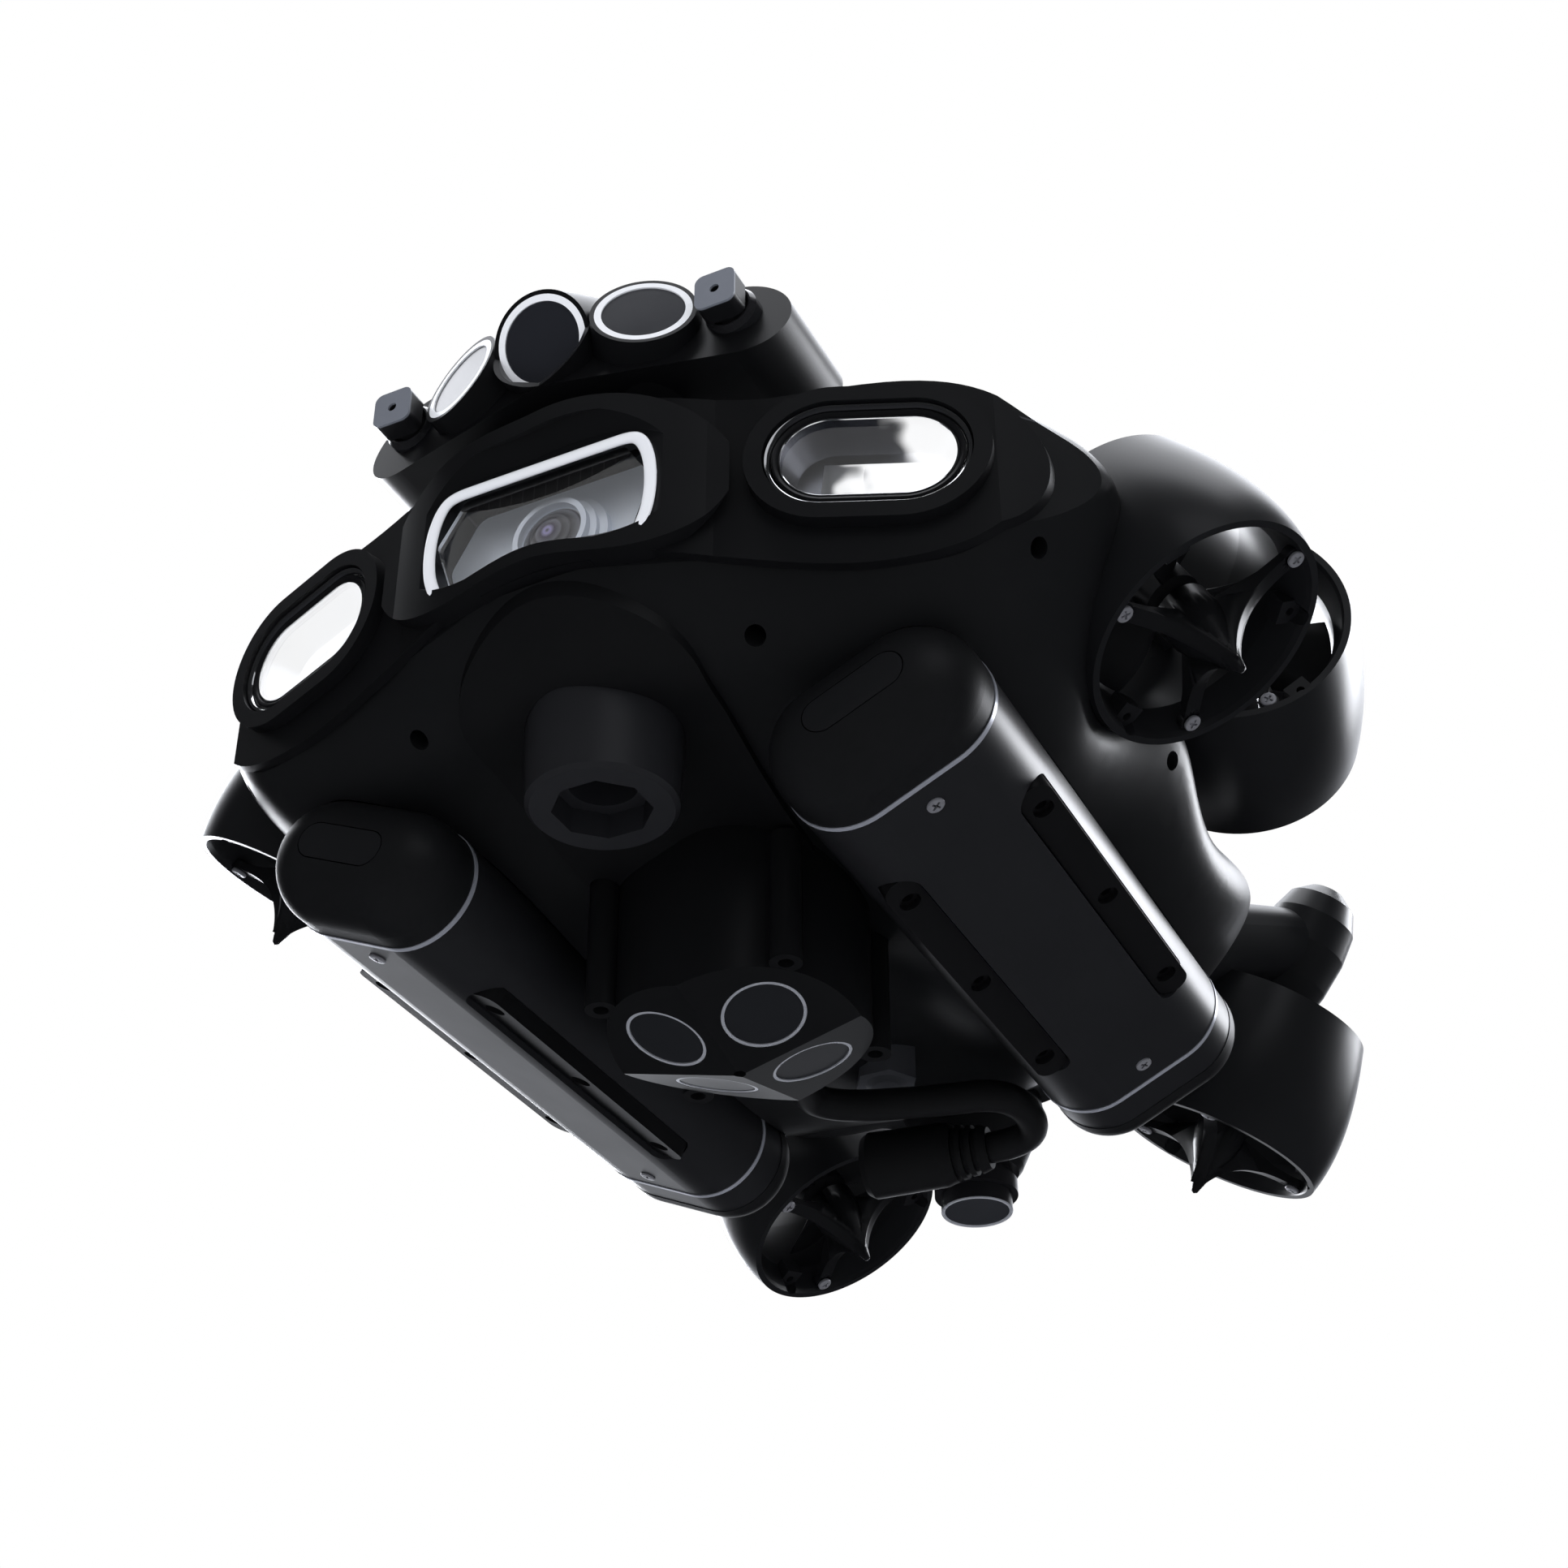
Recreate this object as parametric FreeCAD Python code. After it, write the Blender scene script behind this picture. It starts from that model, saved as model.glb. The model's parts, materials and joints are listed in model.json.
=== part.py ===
"""Compact six-thruster inspection ROV, modelled in millimetres.

Origin: centre of the face of the payload socket boss, on the middle plane.
+Y runs from the camera end to the tail, +Z is up and +X is the starboard side.
"""

import FreeCAD, Part

import math
import os

os.makedirs("parts", exist_ok=True)

V = FreeCAD.Vector

# --- driving dimensions ----------------------------------------------------

fit_gap = 0.3               # clearance round a part that drops into a seat

# hull
hull_tail_y = 238.0
bay_r = 33.0                # electronics bay inside the hull
bay_y = (40.0, 186.0)
bay_z = 54.0
parting_front = (8.0, 80.0)     # y, z of the hull parting line at the shoulder
parting_rear = (60.0, 66.0)     # y, z from where the parting line runs level
hull_hole_r = 2.6
hull_hole_depth = 9.0

# front fascia
fascia_depth = 7.0          # back of the fascia's skin, behind the pod faces
fascia_setback = 4.0        # cheeks lie this far behind the pod faces
nose_y = -41.0              # front of the fascia on the middle plane
toe_out = 17.0              # degrees each headlight turns outwards
pod_roll = -6.0             # degrees each headlight leans in the front view
pod_x, pod_y, pod_z = 81.0, -20.3, 66.4
pod_half_length = 30.0
pod_r = 20.5
light_half_length = 25.5
light_r = 16.0
light_depth = 15.0
light_rim_wall = 2.0
light_glass_t = 2.0

# camera
eye_half_width = 46.0
eye_top_z = 90.0
eye_low_z = 46.5
eye_mid_z = 65.0
eye_depth = 5.0
window_y = -35.5            # front of the camera window
window_top_z = 82.0
window_low_z = 46.0
window_half_top = 25.0
window_half_mid = 33.0
window_mid_z = 67.0
window_half_low = 27.0
frame_wall = 2.6
window_t = 2.0
lens_z = 63.5
camera_depth = 18.0
lens_r = 9.0

# payload boss and belly panel
boss_r = 18.8
boss_taper = 1.4
boss_top_z = 34.0
socket_flats = 23.0
socket_depth = 7.0
socket_bore_r = 8.5
socket_bore_depth = 16.0
panel_t = 2.5
nose_start_y = -12.0        # where the belly panel's nose begins to round
tongue_half = 32.5
tongue_nose = 21.3
tongue_tail_half = 27.0
tongue_tail_y = 116.0

# batteries: one stadium tube each side, outer edge raised
bat_x, bat_z = 70.5, 6.0
bat_tilt = 24.6
bat_half_width = 28.0
bat_half_thick = 17.0
bat_front_y, bat_rear_y = 13.0, 171.0
bat_dome = 22.0
bat_tail = 24.0
bat_collar = 13.0
ring_w = 1.4
window_half_length = 13.5     # charge-state window in the battery's dome
window_r = 4.8
window_depth = 3.5
rail_offset = 19.6
rail_w = 9.0
rail_y = (39.0, 145.0)
rail_depth = 2.4
screw_head_r = 2.3

# Doppler velocity log
dvl_y = 72.5
dvl_low_z = -37.4
dvl_r = 34.0
dvl_facet = 20.0
dvl_disc_r = 10.8
dvl_disc_at = 19.6
dvl_lug_at = 26.0
dvl_lug_low_z = -25.0
dvl_lug_r = 4.2
dvl_top_z = 12.0

# cable from the velocity log to its plug
cable_r = 4.6

# altimeter on the tail
alt_y = 230.0
alt_low_z = -9.6
alt_r = 10.9
alt_collar_r = 14.5

# sonar bar over the fascia
sonar_y, sonar_z = -37.0, 118.8   # middle of the bar's face
sonar_lean = 12.0
sonar_sweep = 13.0          # degrees each half is swept back
sonar_half_length = 62.5
sonar_r = 14.5
sonar_depth = 30.0
sonar_disc_r = 12.6
laser_x, laser_y, laser_z = 47.9, -27.0, 120.4
laser_ball_r = 4.6
laser_head_w = 11.2
laser_head_t = 6.0
laser_reach = 9.6           # ball centre to the head's face

# thrusters
rim_r = 33.2
throat_r = 28.2
prop_gap = 0.8
prop_hub_r = 8.0
prop_from, prop_to = 13.0, 25.0
can_r = 9.0
shaft_r = 2.5
shaft_gap = 0.05
guard_screw_at = 29.0
guard_tip = 16.0
pad_r = 2.9

# --- helpers ---------------------------------------------------------------


def save(name, *solids):
    shape = solids[0] if len(solids) == 1 else Part.makeCompound(list(solids))
    shape.exportStep("parts/%s.step" % name)


def fuse(shapes):
    return shapes[0].multiFuse(list(shapes[1:])).removeSplitter()


def mirror(shape):
    return shape.mirror(V(0, 0, 0), V(1, 0, 0))


def both(shape):
    return [shape, mirror(shape)]


def box(x0, x1, y0, y1, z0, z1):
    return Part.makeBox(x1 - x0, y1 - y0, z1 - z0, V(x0, y0, z0))


def cyl(r, length, at, axis):
    return Part.makeCylinder(r, length, at, axis)


def polygon(points):
    return Part.makePolygon(list(points) + [points[0]])


def prism(wire, direction):
    return Part.Face(wire).extrude(direction)


def revolve(outline, at=None, axis=None):
    """A full turn of an (r, height) outline about +Z, then turned to the axis."""
    wire = polygon([V(r, 0, h) for r, h in outline])
    solid = Part.Face(wire).revolve(V(0, 0, 0), V(0, 0, 1), 360)
    return place(solid, at, axis) if axis else solid


def place(shape, at, axis):
    """Carries a shape drawn round +Z at the origin to a point and direction."""
    return carried(shape, at, FreeCAD.Rotation(V(0, 0, 1), axis))


def carried(shape, at, turn):
    moved = shape.copy()
    moved.Placement = FreeCAD.Placement(at, turn).multiply(shape.Placement)
    return moved


def stadium(half_length, r, depth):
    """A prism of stadium section: long in X, round ends, rising from Z = 0."""
    a = half_length - r
    arcs = [
        Part.LineSegment(V(-a, -r, 0), V(a, -r, 0)).toShape(),
        Part.Arc(V(a, -r, 0), V(a + r, 0, 0), V(a, r, 0)).toShape(),
        Part.LineSegment(V(a, r, 0), V(-a, r, 0)).toShape(),
        Part.Arc(V(-a, r, 0), V(-a - r, 0, 0), V(-a, -r, 0)).toShape(),
    ]
    return prism(Part.Wire(arcs), V(0, 0, depth))


def smooth_wire(points):
    curve = Part.BSplineCurve()
    curve.interpolate(Points=points, PeriodicFlag=True)
    return Part.Wire(curve.toShape())


def rounded(points, r):
    """A closed polygon in the XZ plane with every corner rounded."""
    edges = []
    count = len(points)
    cut = []
    for i, p in enumerate(points):
        before = (points[i - 1] - p).normalize()
        after = (points[(i + 1) % count] - p).normalize()
        half = before.getAngle(after) / 2
        reach = r / math.tan(half)
        middle = (before + after).normalize() * (r / math.sin(half) - r)
        cut.append((p + before * reach, p + middle, p + after * reach))
    for i in range(count):
        a, m, b = cut[i]
        edges.append(Part.Arc(a, m, b).toShape())
        edges.append(Part.makeLine(b, cut[(i + 1) % count][0]))
    return Part.Wire(edges)


# --- hull envelope ---------------------------------------------------------

# y, then x and z from the keel line round the starboard side to the deck
hull_sections = [
    (-45.0, [(0, 62), (26, 60), (50, 60), (76, 60), (100, 62), (110, 66), (113, 74), (99, 90), (50, 93), (0, 96)]),
    (-34.0, [(0, 47), (26, 49), (50, 54), (76, 56), (100, 59), (111, 64), (114, 72), (100, 87), (50, 92), (0, 97)]),
    (-22.0, [(0, 28), (26, 31), (50, 41), (76, 45), (100, 51), (112, 58), (116, 70), (101, 87), (50, 93), (0, 99)]),
    (-8.0, [(0, 24), (27, 24), (50, 26), (76, 30), (100, 38), (113, 53), (118, 68), (104, 88), (51, 95), (0, 101)]),
    (8.0, [(0, 22), (28, 22), (50, 20), (76, 21), (102, 31), (117, 48), (123, 68), (107, 91), (52, 99), (0, 105)]),
    (24.0, [(0, 19), (30, 18), (50, 14), (76, 16), (104, 30), (121, 49), (128, 68), (108, 92), (54, 105), (0, 108)]),
    (48.0, [(0, 14), (33, 13), (50, 6), (76, 10), (100, 24), (112, 42), (108, 66), (86, 92), (50, 106), (0, 111)]),
    (80.0, [(0, 9), (35, 8), (50, 1), (76, 9), (98, 22), (108, 40), (94, 66), (76, 92), (46, 107), (0, 112)]),
    (120.0, [(0, 7), (36, 6), (50, 0), (76, 9), (99, 22), (113, 40), (96, 64), (72, 88), (42, 104), (0, 110)]),
    (165.0, [(0, 9), (35, 8), (50, 2), (76, 11), (98, 24), (111, 41), (94, 62), (66, 83), (38, 98), (0, 104)]),
    (205.0, [(0, 15), (28, 15), (44, 16), (64, 20), (79, 30), (88, 44), (79, 60), (54, 76), (30, 88), (0, 92)]),
    (hull_tail_y, [(0, 26), (16, 26), (28, 28), (38, 32), (46, 38), (50, 46), (46, 57), (34, 67), (18, 74), (0, 76)]),
]


def front_line(setback):
    """The fascia's front seen from above, from port to starboard."""
    t = math.radians(toe_out)
    bend_x = 44.0
    bend = V(bend_x, pod_y - (pod_x - bend_x) * math.tan(t) + setback, 0)
    tip = V(pod_x + 28.0, pod_y + 28.0 * math.tan(t) + setback, 0)
    side = V(140.0, 24.0 + setback, 0)
    middle = V(0, nose_y + setback, 0)
    return middle, bend, tip, side


def plan_prism(setback):
    """Everything behind the curved front, as one tall block."""
    middle, bend, tip, side = front_line(setback)
    flip = lambda p: V(-p.x, p.y, p.z)
    edges = [
        Part.makeLine(flip(side), flip(tip)),
        Part.makeLine(flip(tip), flip(bend)),
        Part.Arc(flip(bend), middle, bend).toShape(),
        Part.makeLine(bend, tip),
        Part.makeLine(tip, side),
        Part.makeLine(side, V(260, side.y, 0)),
        Part.makeLine(V(260, side.y, 0), V(260, 400, 0)),
        Part.makeLine(V(260, 400, 0), V(-260, 400, 0)),
        Part.makeLine(V(-260, 400, 0), V(-260, side.y, 0)),
        Part.makeLine(V(-260, side.y, 0), flip(side)),
    ]
    return prism(Part.Wire(edges), V(0, 0, 260)).translated(V(0, 0, -80))


def hull_envelope():
    wires = []
    for y, half in hull_sections:
        points = [V(x, y, z) for x, z in half]
        points += [V(-x, y, z) for x, z in reversed(half[1:-1])]
        wires.append(smooth_wire(points))
    return Part.makeLoft(wires, True, False)


# --- fascia ----------------------------------------------------------------

fascia_half = [(0, 96), (30, 94), (56, 90), (84, 89), (105, 85), (117, 72), (117, 56), (109, 43), (92, 36),
               (70, 36), (48, 41), (24, 46), (0, 48)]


def pod_place(shape, depth=0.0):
    """Carries a pod piece (long in X, rising to +Z) to the starboard pod."""
    t = math.radians(toe_out)
    out = V(math.sin(t), -math.cos(t), 0)
    along = V(math.cos(t), math.sin(t), 0)
    roll = math.radians(pod_roll)
    x_axis = along * math.cos(roll) + V(0, 0, math.sin(roll))
    y_axis = out.cross(x_axis)
    turn = FreeCAD.Rotation(x_axis, y_axis, out, "ZXY")
    return carried(shape, V(pod_x, pod_y, pod_z) - out * depth, turn)


def eye_wire(grow, y):
    half = [(0, eye_top_z + grow), (24, eye_top_z - 1.5 + grow), (40 + grow * 0.6, 79 + grow * 0.7),
            (eye_half_width + grow, eye_mid_z), (39 + grow * 0.6, 53 - grow * 0.6), (24, eye_low_z + 2 - grow * 0.8),
            (0, eye_low_z + 5 - grow * 0.8)]
    points = [V(x, y, z) for x, z in half]
    points += [V(-x, y, z) for x, z in reversed(half[1:-1])]
    return smooth_wire(points)


def window_wire(grow, y):
    points = [
        V(window_half_top + grow * 0.8, y, window_top_z + grow),
        V(window_half_mid + grow, y, window_mid_z),
        V(window_half_low + grow, y, window_low_z - grow),
        V(-window_half_low - grow, y, window_low_z - grow),
        V(-window_half_mid - grow, y, window_mid_z),
        V(-window_half_top - grow * 0.8, y, window_top_z + grow),
    ]
    return rounded(points, 5.0 + grow)


def fascia_block():
    points = [V(x, -60, z) for x, z in fascia_half]
    points += [V(-x, -60, z) for x, z in reversed(fascia_half[1:-1])]
    band = prism(smooth_wire(points), V(0, 120, 0))
    front = plan_prism(fascia_setback)
    back = plan_prism(fascia_depth)
    return band.common(front).cut(back)


def light_pocket():
    return pod_place(stadium(light_half_length, light_r, light_depth + 10.0), light_depth)


def camera_pocket():
    return prism(window_wire(0.0, window_y - 0.1), V(0, camera_depth, 0))


def front_fascia():
    body = fascia_block()
    pod_back = fascia_depth * math.cos(math.radians(toe_out))
    boss = stadium(pod_half_length, pod_r, pod_back)
    for flip in (False, True):
        pod = pod_place(boss, pod_back)
        hole = light_pocket()
        if flip:
            pod, hole = mirror(pod), mirror(hole)
        body = body.fuse(pod).cut(hole)
    brow = prism(eye_wire(5.0, nose_y - 1.0), V(0, 12, 0)).common(plan_prism(0.0)).cut(plan_prism(fascia_depth))
    body = body.fuse(brow)
    dish = Part.makeLoft([eye_wire(0.0, nose_y - 6.0), eye_wire(0.0, nose_y + 1.5),
                          eye_wire(-5.0, window_y)], True, True)
    body = body.cut(dish).cut(camera_pocket())
    return body.removeSplitter()



def window_frame():
    ring = prism(window_wire(-0.1, window_y), V(0, 4, 0))
    ring = ring.cut(prism(window_wire(-frame_wall, window_y - 1), V(0, 6, 0)))
    return ring


def camera_window():
    return prism(window_wire(-frame_wall, window_y + 1), V(0, window_t, 0))


def camera_module():
    """Back plate, stepped barrel and the short snout that holds the lens."""
    plate_y = window_y + 12.0
    plate = prism(window_wire(-0.2, plate_y), V(0, 3, 0))
    rings = [(lens_r + 5.0, 0), (lens_r + 5.0, 2.0), (lens_r + 3.0, 2.5), (lens_r + 3.0, 4.0), (lens_r + 1.5, 4.5),
             (lens_r + 1.5, 6.5), (lens_r, 6.5), (lens_r, 4.0), (0, 4.0), (0, 0)]
    barrel = revolve(rings, V(0, plate_y, lens_z), V(0, -1, 0))
    return plate.fuse(barrel).removeSplitter()


def camera_lens():
    base_y = window_y + 8.0
    rise = 3.4
    ball_r = (lens_r * lens_r + rise * rise) / (2 * rise)
    ball = Part.makeSphere(ball_r, V(0, base_y + ball_r - rise, lens_z))
    return ball.common(cyl(lens_r - 0.05, rise + 1, V(0, base_y - rise - 1, lens_z), V(0, 1, 0)))


# --- headlights ------------------------------------------------------------


def light_rim():
    outer = stadium(light_half_length - 0.1, light_r - 0.1, 4.0)
    inner = stadium(light_half_length - light_rim_wall, light_r - light_rim_wall, 6.0).translated(V(0, 0, -1))
    return pod_place(outer.cut(inner), 5.5)


def light_glass():
    pane = stadium(light_half_length - light_rim_wall, light_r - light_rim_wall, light_glass_t)
    return pod_place(pane, 4.5)


def light_reflector():
    """A stadium tray whose walls slope in to a flat floor behind two emitters."""
    depth = light_depth - 6.0
    outer = stadium(light_half_length - 0.3, light_r - 0.3, depth)
    wires = []
    for h, shrink in ((depth, 1.2), (1.6, 6.5)):
        rim = stadium(light_half_length - 0.3 - shrink, light_r - 0.3 - shrink, 1.0)
        face = [f for f in rim.Faces if abs(f.CenterOfMass.z) < 1e-6 and f.Surface.TypeId == "Part::GeomPlane"][0]
        wires.append(face.OuterWire.translated(V(0, 0, h)))
    bowl = Part.makeLoft(wires, True, True)
    return pod_place(outer.cut(bowl), light_depth - 0.2)


def light_board():
    board = box(-12.5, 12.5, -5.5, 5.5, 0, 0.8)
    for x in (-6.5, 6.5):
        board = board.fuse(box(x - 4, x + 4, -4, 4, 0.8, 1.7))
    return pod_place(board.removeSplitter(), light_depth - 1.8)


# --- payload boss and belly panel ------------------------------------------


def belly_outline():
    """The tongue seen from below: a blunt elliptical nose and a narrowing tail."""
    nose = Part.ArcOfEllipse(Part.Ellipse(V(0, nose_start_y, 0), tongue_half, tongue_nose), math.pi, 2 * math.pi)
    port, starboard = V(-tongue_half, nose_start_y, 0), V(tongue_half, nose_start_y, 0)
    tail_port, tail_starboard = V(-tongue_tail_half, tongue_tail_y, 0), V(tongue_tail_half, tongue_tail_y, 0)
    edges = [nose.toShape(), Part.makeLine(starboard, tail_starboard), Part.makeLine(tail_starboard, tail_port),
             Part.makeLine(tail_port, port)]
    return Part.Wire(edges)


def belly_panel(envelope):
    """A skin of the hull's own form, stood off its belly by the panel's thickness."""
    column = prism(belly_outline(), V(0, 0, 80)).translated(V(0, 0, -15))
    stand_off = V(0, -1, -2).normalize() * panel_t
    skin = envelope.translated(stand_off).common(column).common(plan_prism(fascia_depth))
    skin = skin.cut(envelope).cut(boss_body(0.1)).cut(dvl_outer(0.15)).cut(dvl_lugs(0.15))
    return max(skin.Solids, key=lambda s: s.Volume)


def boss_body(grow=0.0):
    outline = [(0, 0), (boss_r - 1.2 + grow, 0), (boss_r + grow, 1.2), (boss_r + boss_taper + grow, boss_top_z),
               (0, boss_top_z)]
    return revolve(outline)


def payload_boss(hull):
    across = socket_flats / math.cos(math.radians(22.5)) / 2
    corners = [V(across * math.cos(math.radians(22.5 + 45 * i)), across * math.sin(math.radians(22.5 + 45 * i)), 0)
               for i in range(8)]
    socket = prism(polygon(corners), V(0, 0, socket_depth))
    bore = cyl(socket_bore_r, socket_bore_depth, V(0, 0, 0), V(0, 0, 1))
    return boss_body().cut(socket).cut(bore).cut(hull)


# --- batteries -------------------------------------------------------------


def bat_place(shape):
    """Carries a battery piece (long section in X, axis in -Z) to starboard."""
    t = math.radians(bat_tilt)
    across = V(math.cos(t), 0, math.sin(t))
    down = V(math.sin(t), 0, -math.cos(t))
    turn = FreeCAD.Rotation(across, down, across.cross(down), "ZXY")
    return carried(shape, V(bat_x, 0, bat_z), turn)


def bat_prism(grow, y0, y1):
    """Local +Z is the way the tube runs aft, so y0 and y1 are row heights."""
    return stadium(bat_half_width + grow, bat_half_thick + grow, y1 - y0).translated(V(0, 0, y0))


def end_round(shape, height, r):
    edges = [e for e in shape.Edges
             if all(abs(v.Point.z - height) < 1e-6 for v in e.Vertexes)]
    return shape.makeFillet(r, edges)


def bat_front_cap(grow=0.0):
    tip = bat_front_y - bat_dome - grow
    return end_round(bat_prism(grow, tip, bat_front_y - ring_w), tip, bat_half_thick - 2.0)


def bat_window(grow):
    tip = bat_front_y - bat_dome
    return stadium(window_half_length + grow, window_r + grow, window_depth).translated(V(0, 0, tip - 0.5))


def bat_rear_cap(grow=0.0):
    tip = bat_rear_y + bat_tail + grow
    return end_round(bat_prism(grow, bat_rear_y + bat_collar, tip), tip, 8.0)


def bat_tube():
    tube = bat_prism(0.0, bat_front_y, bat_rear_y)
    for side in (-1, 1):
        tube = tube.cut(rail_prism(side, 0.4, 6.6, -6))
    return tube


def rail_prism(side, grow, low, high):
    """Between two depths under the flat face; local +Y is the outer face's way."""
    length = rail_y[1] - rail_y[0]
    bar = stadium(length / 2 + grow, rail_w / 2 + grow, low - high)
    bar.Placement = FreeCAD.Placement(
        V(side * rail_offset, bat_half_thick - low, (rail_y[0] + rail_y[1]) / 2),
        FreeCAD.Rotation(V(0, 0, 1), V(1, 0, 0), V(0, 1, 0), "ZXY"))
    return bar


def bat_rail(side):
    rail = rail_prism(side, 0.0, 6.6, 2.0)
    for y in rail_screw_ys():
        rail = rail.cut(cyl(1.6, 12, V(side * rail_offset, bat_half_thick - 8, y), V(0, 1, 0)))
        rail = rail.cut(cyl(2.8, 12, V(side * rail_offset, bat_half_thick - 3.8, y), V(0, 1, 0)))
    return rail


def rail_screw_ys():
    inset = 9.0
    return [rail_y[0] + inset, (rail_y[0] + rail_y[1]) / 2, rail_y[1] - inset]


def bat_shell_for_hull():
    """The room the hull leaves for a battery, with the fit gap all round."""
    room = bat_front_cap(fit_gap).fuse(bat_prism(fit_gap, bat_front_y - ring_w - 1, bat_rear_y + bat_collar + 1))
    return bat_place(room.fuse(bat_rear_cap(fit_gap)))


# --- Doppler velocity log --------------------------------------------------


def dvl_outer(grow=0.0):
    return cyl(dvl_r + grow, dvl_top_z + 6 - dvl_low_z, V(0, dvl_y, dvl_low_z), V(0, 0, 1))


def dvl_lugs(grow=0.0):
    """Four screw lugs down the corners of the log's body."""
    height = dvl_top_z - dvl_lug_low_z
    spots = [V(sx * dvl_lug_at, dvl_y + sy * dvl_lug_at, dvl_lug_low_z) for sx in (-1, 1) for sy in (-1, 1)]
    return [cyl(dvl_lug_r + grow, height + grow, at, V(0, 0, 1)) for at in spots]


def dvl_facet_frames():
    for sx, sy in ((1, -1), (-1, -1), (1, 1), (-1, 1)):
        outward = V(sx, sy, 0).normalize()
        tilt = math.radians(dvl_facet)
        normal = (outward * math.sin(tilt) + V(0, 0, -math.cos(tilt))).normalize()
        centre = V(0, dvl_y, dvl_low_z) + outward * dvl_disc_at + V(0, 0, dvl_disc_at * math.tan(tilt))
        yield centre, normal


def dvl_body(hull):
    body = dvl_outer()
    for centre, normal in dvl_facet_frames():
        slab = place(Part.makeBox(120, 120, 60, V(-60, -60, 0)), centre, normal)
        body = body.cut(slab)
    for centre, normal in dvl_facet_frames():
        body = body.cut(place(cyl(dvl_disc_r, 6, V(0, 0, -3), V(0, 0, 1)), centre, normal))
    for lug in dvl_lugs():
        at = V(lug.CenterOfMass.x, lug.CenterOfMass.y, dvl_lug_low_z)
        body = body.fuse(lug).cut(cyl(2.0, 14, at, V(0, 0, 1)))
    body = body.cut(cyl(1.6, 8, V(0, dvl_y, dvl_low_z - 1), V(0, 0, 1)))
    way = (cable_route[0] - cable_route[1]).normalize()
    body = body.fuse(cyl(gland_r, gland_out + 6, cable_route[0], way))
    return body.cut(hull).removeSplitter()


# --- thrusters -------------------------------------------------------------

# name, rim centre, the way the guard faces, duct length, radius of the far lip
thrusters = [
    ("front", V(136.2, 60.5, 47.4), V(0.5, 0, -math.cos(math.radians(30))), 46.0, 31.0),
    ("side", V(126.8, 124.7, 100.5), V(math.sin(math.radians(15)), -math.cos(math.radians(15)), 0), 57.0, 34.5),
    ("rear", V(63.9, 272.1, 16.3), V(-0.5, 0, -math.cos(math.radians(30))), 48.0, 30.5),
]
guard_angles = {"front": 20.0, "side": 80.0, "rear": 40.0}


def duct_outline(length, far_r, grow=0.0):
    """Outer barrel line from the guard rim (height 0) inwards, heights falling."""
    return [V(rim_r + grow, 0, 0), V(rim_r + 1.9 + grow, 0, -11), V(max(rim_r, far_r) + 1.8 + grow, 0, -length * 0.5),
            V(far_r + grow, 0, -length)]


def barrel(length, far_r, grow=0.0):
    """The duct's outer form, filled, drawn with its guard rim at Z = 0."""
    points = duct_outline(length, far_r, grow)
    curve = Part.BSplineCurve()
    curve.interpolate(points)
    edges = [curve.toShape(), Part.makeLine(points[-1], V(0, 0, -length)),
             Part.makeLine(V(0, 0, -length), V(0, 0, 0)), Part.makeLine(V(0, 0, 0), points[0])]
    return Part.Face(Part.Wire(edges)).revolve(V(0, 0, 0), V(0, 0, 1), 360)


def duct(length, far_r, turn):
    throat = [(rim_r - 1.6, 1), (rim_r - 1.9, 0), (rim_r - 2.6, -1.5), (throat_r, -9), (throat_r, -length * 0.6),
              (far_r - 1.8, -length), (far_r - 1.6, -length - 1), (0, -length - 1), (0, 1)]
    body = barrel(length, far_r).cut(revolve(throat))
    sleeve_top, sleeve_low = -prop_to - 1.2, -length + 2.0
    sleeve = revolve([(can_r - 1.8, sleeve_top), (can_r, sleeve_top), (can_r + 0.6, sleeve_low + 3),
                      (can_r - 1.0, sleeve_low), (0, sleeve_low), (0, sleeve_low + 2.0),
                      (can_r - 1.8, sleeve_low + 2.0)])
    parts = [body, sleeve]
    for i in range(3):
        angle = turn + 60 + 120 * i
        vane = box(can_r - 0.8, throat_r + 0.8, -1.2, 1.2, sleeve_low + 3, sleeve_top - 1)
        parts.append(vane.rotated(V(0, 0, 0), V(0, 0, 1), angle))
        seat = box(guard_screw_at - 3.4, rim_r - 0.6, -3.4, 3.4, -9.5, -4.0)
        parts.append(seat.rotated(V(0, 0, 0), V(0, 0, 1), angle - 60))
    solid = fuse(parts)
    for i in range(3):
        pocket = cyl(pad_r + 0.05, 6.0, screw_spot(turn + 120 * i, -4.0), V(0, 0, 1))
        hole = cyl(1.2, 6.0, screw_spot(turn + 120 * i, -9.0), V(0, 0, 1))
        solid = solid.cut(pocket).cut(hole)
    return solid


def screw_spot(angle, height):
    a = math.radians(angle)
    return V(guard_screw_at * math.cos(a), guard_screw_at * math.sin(a), height)


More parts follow.
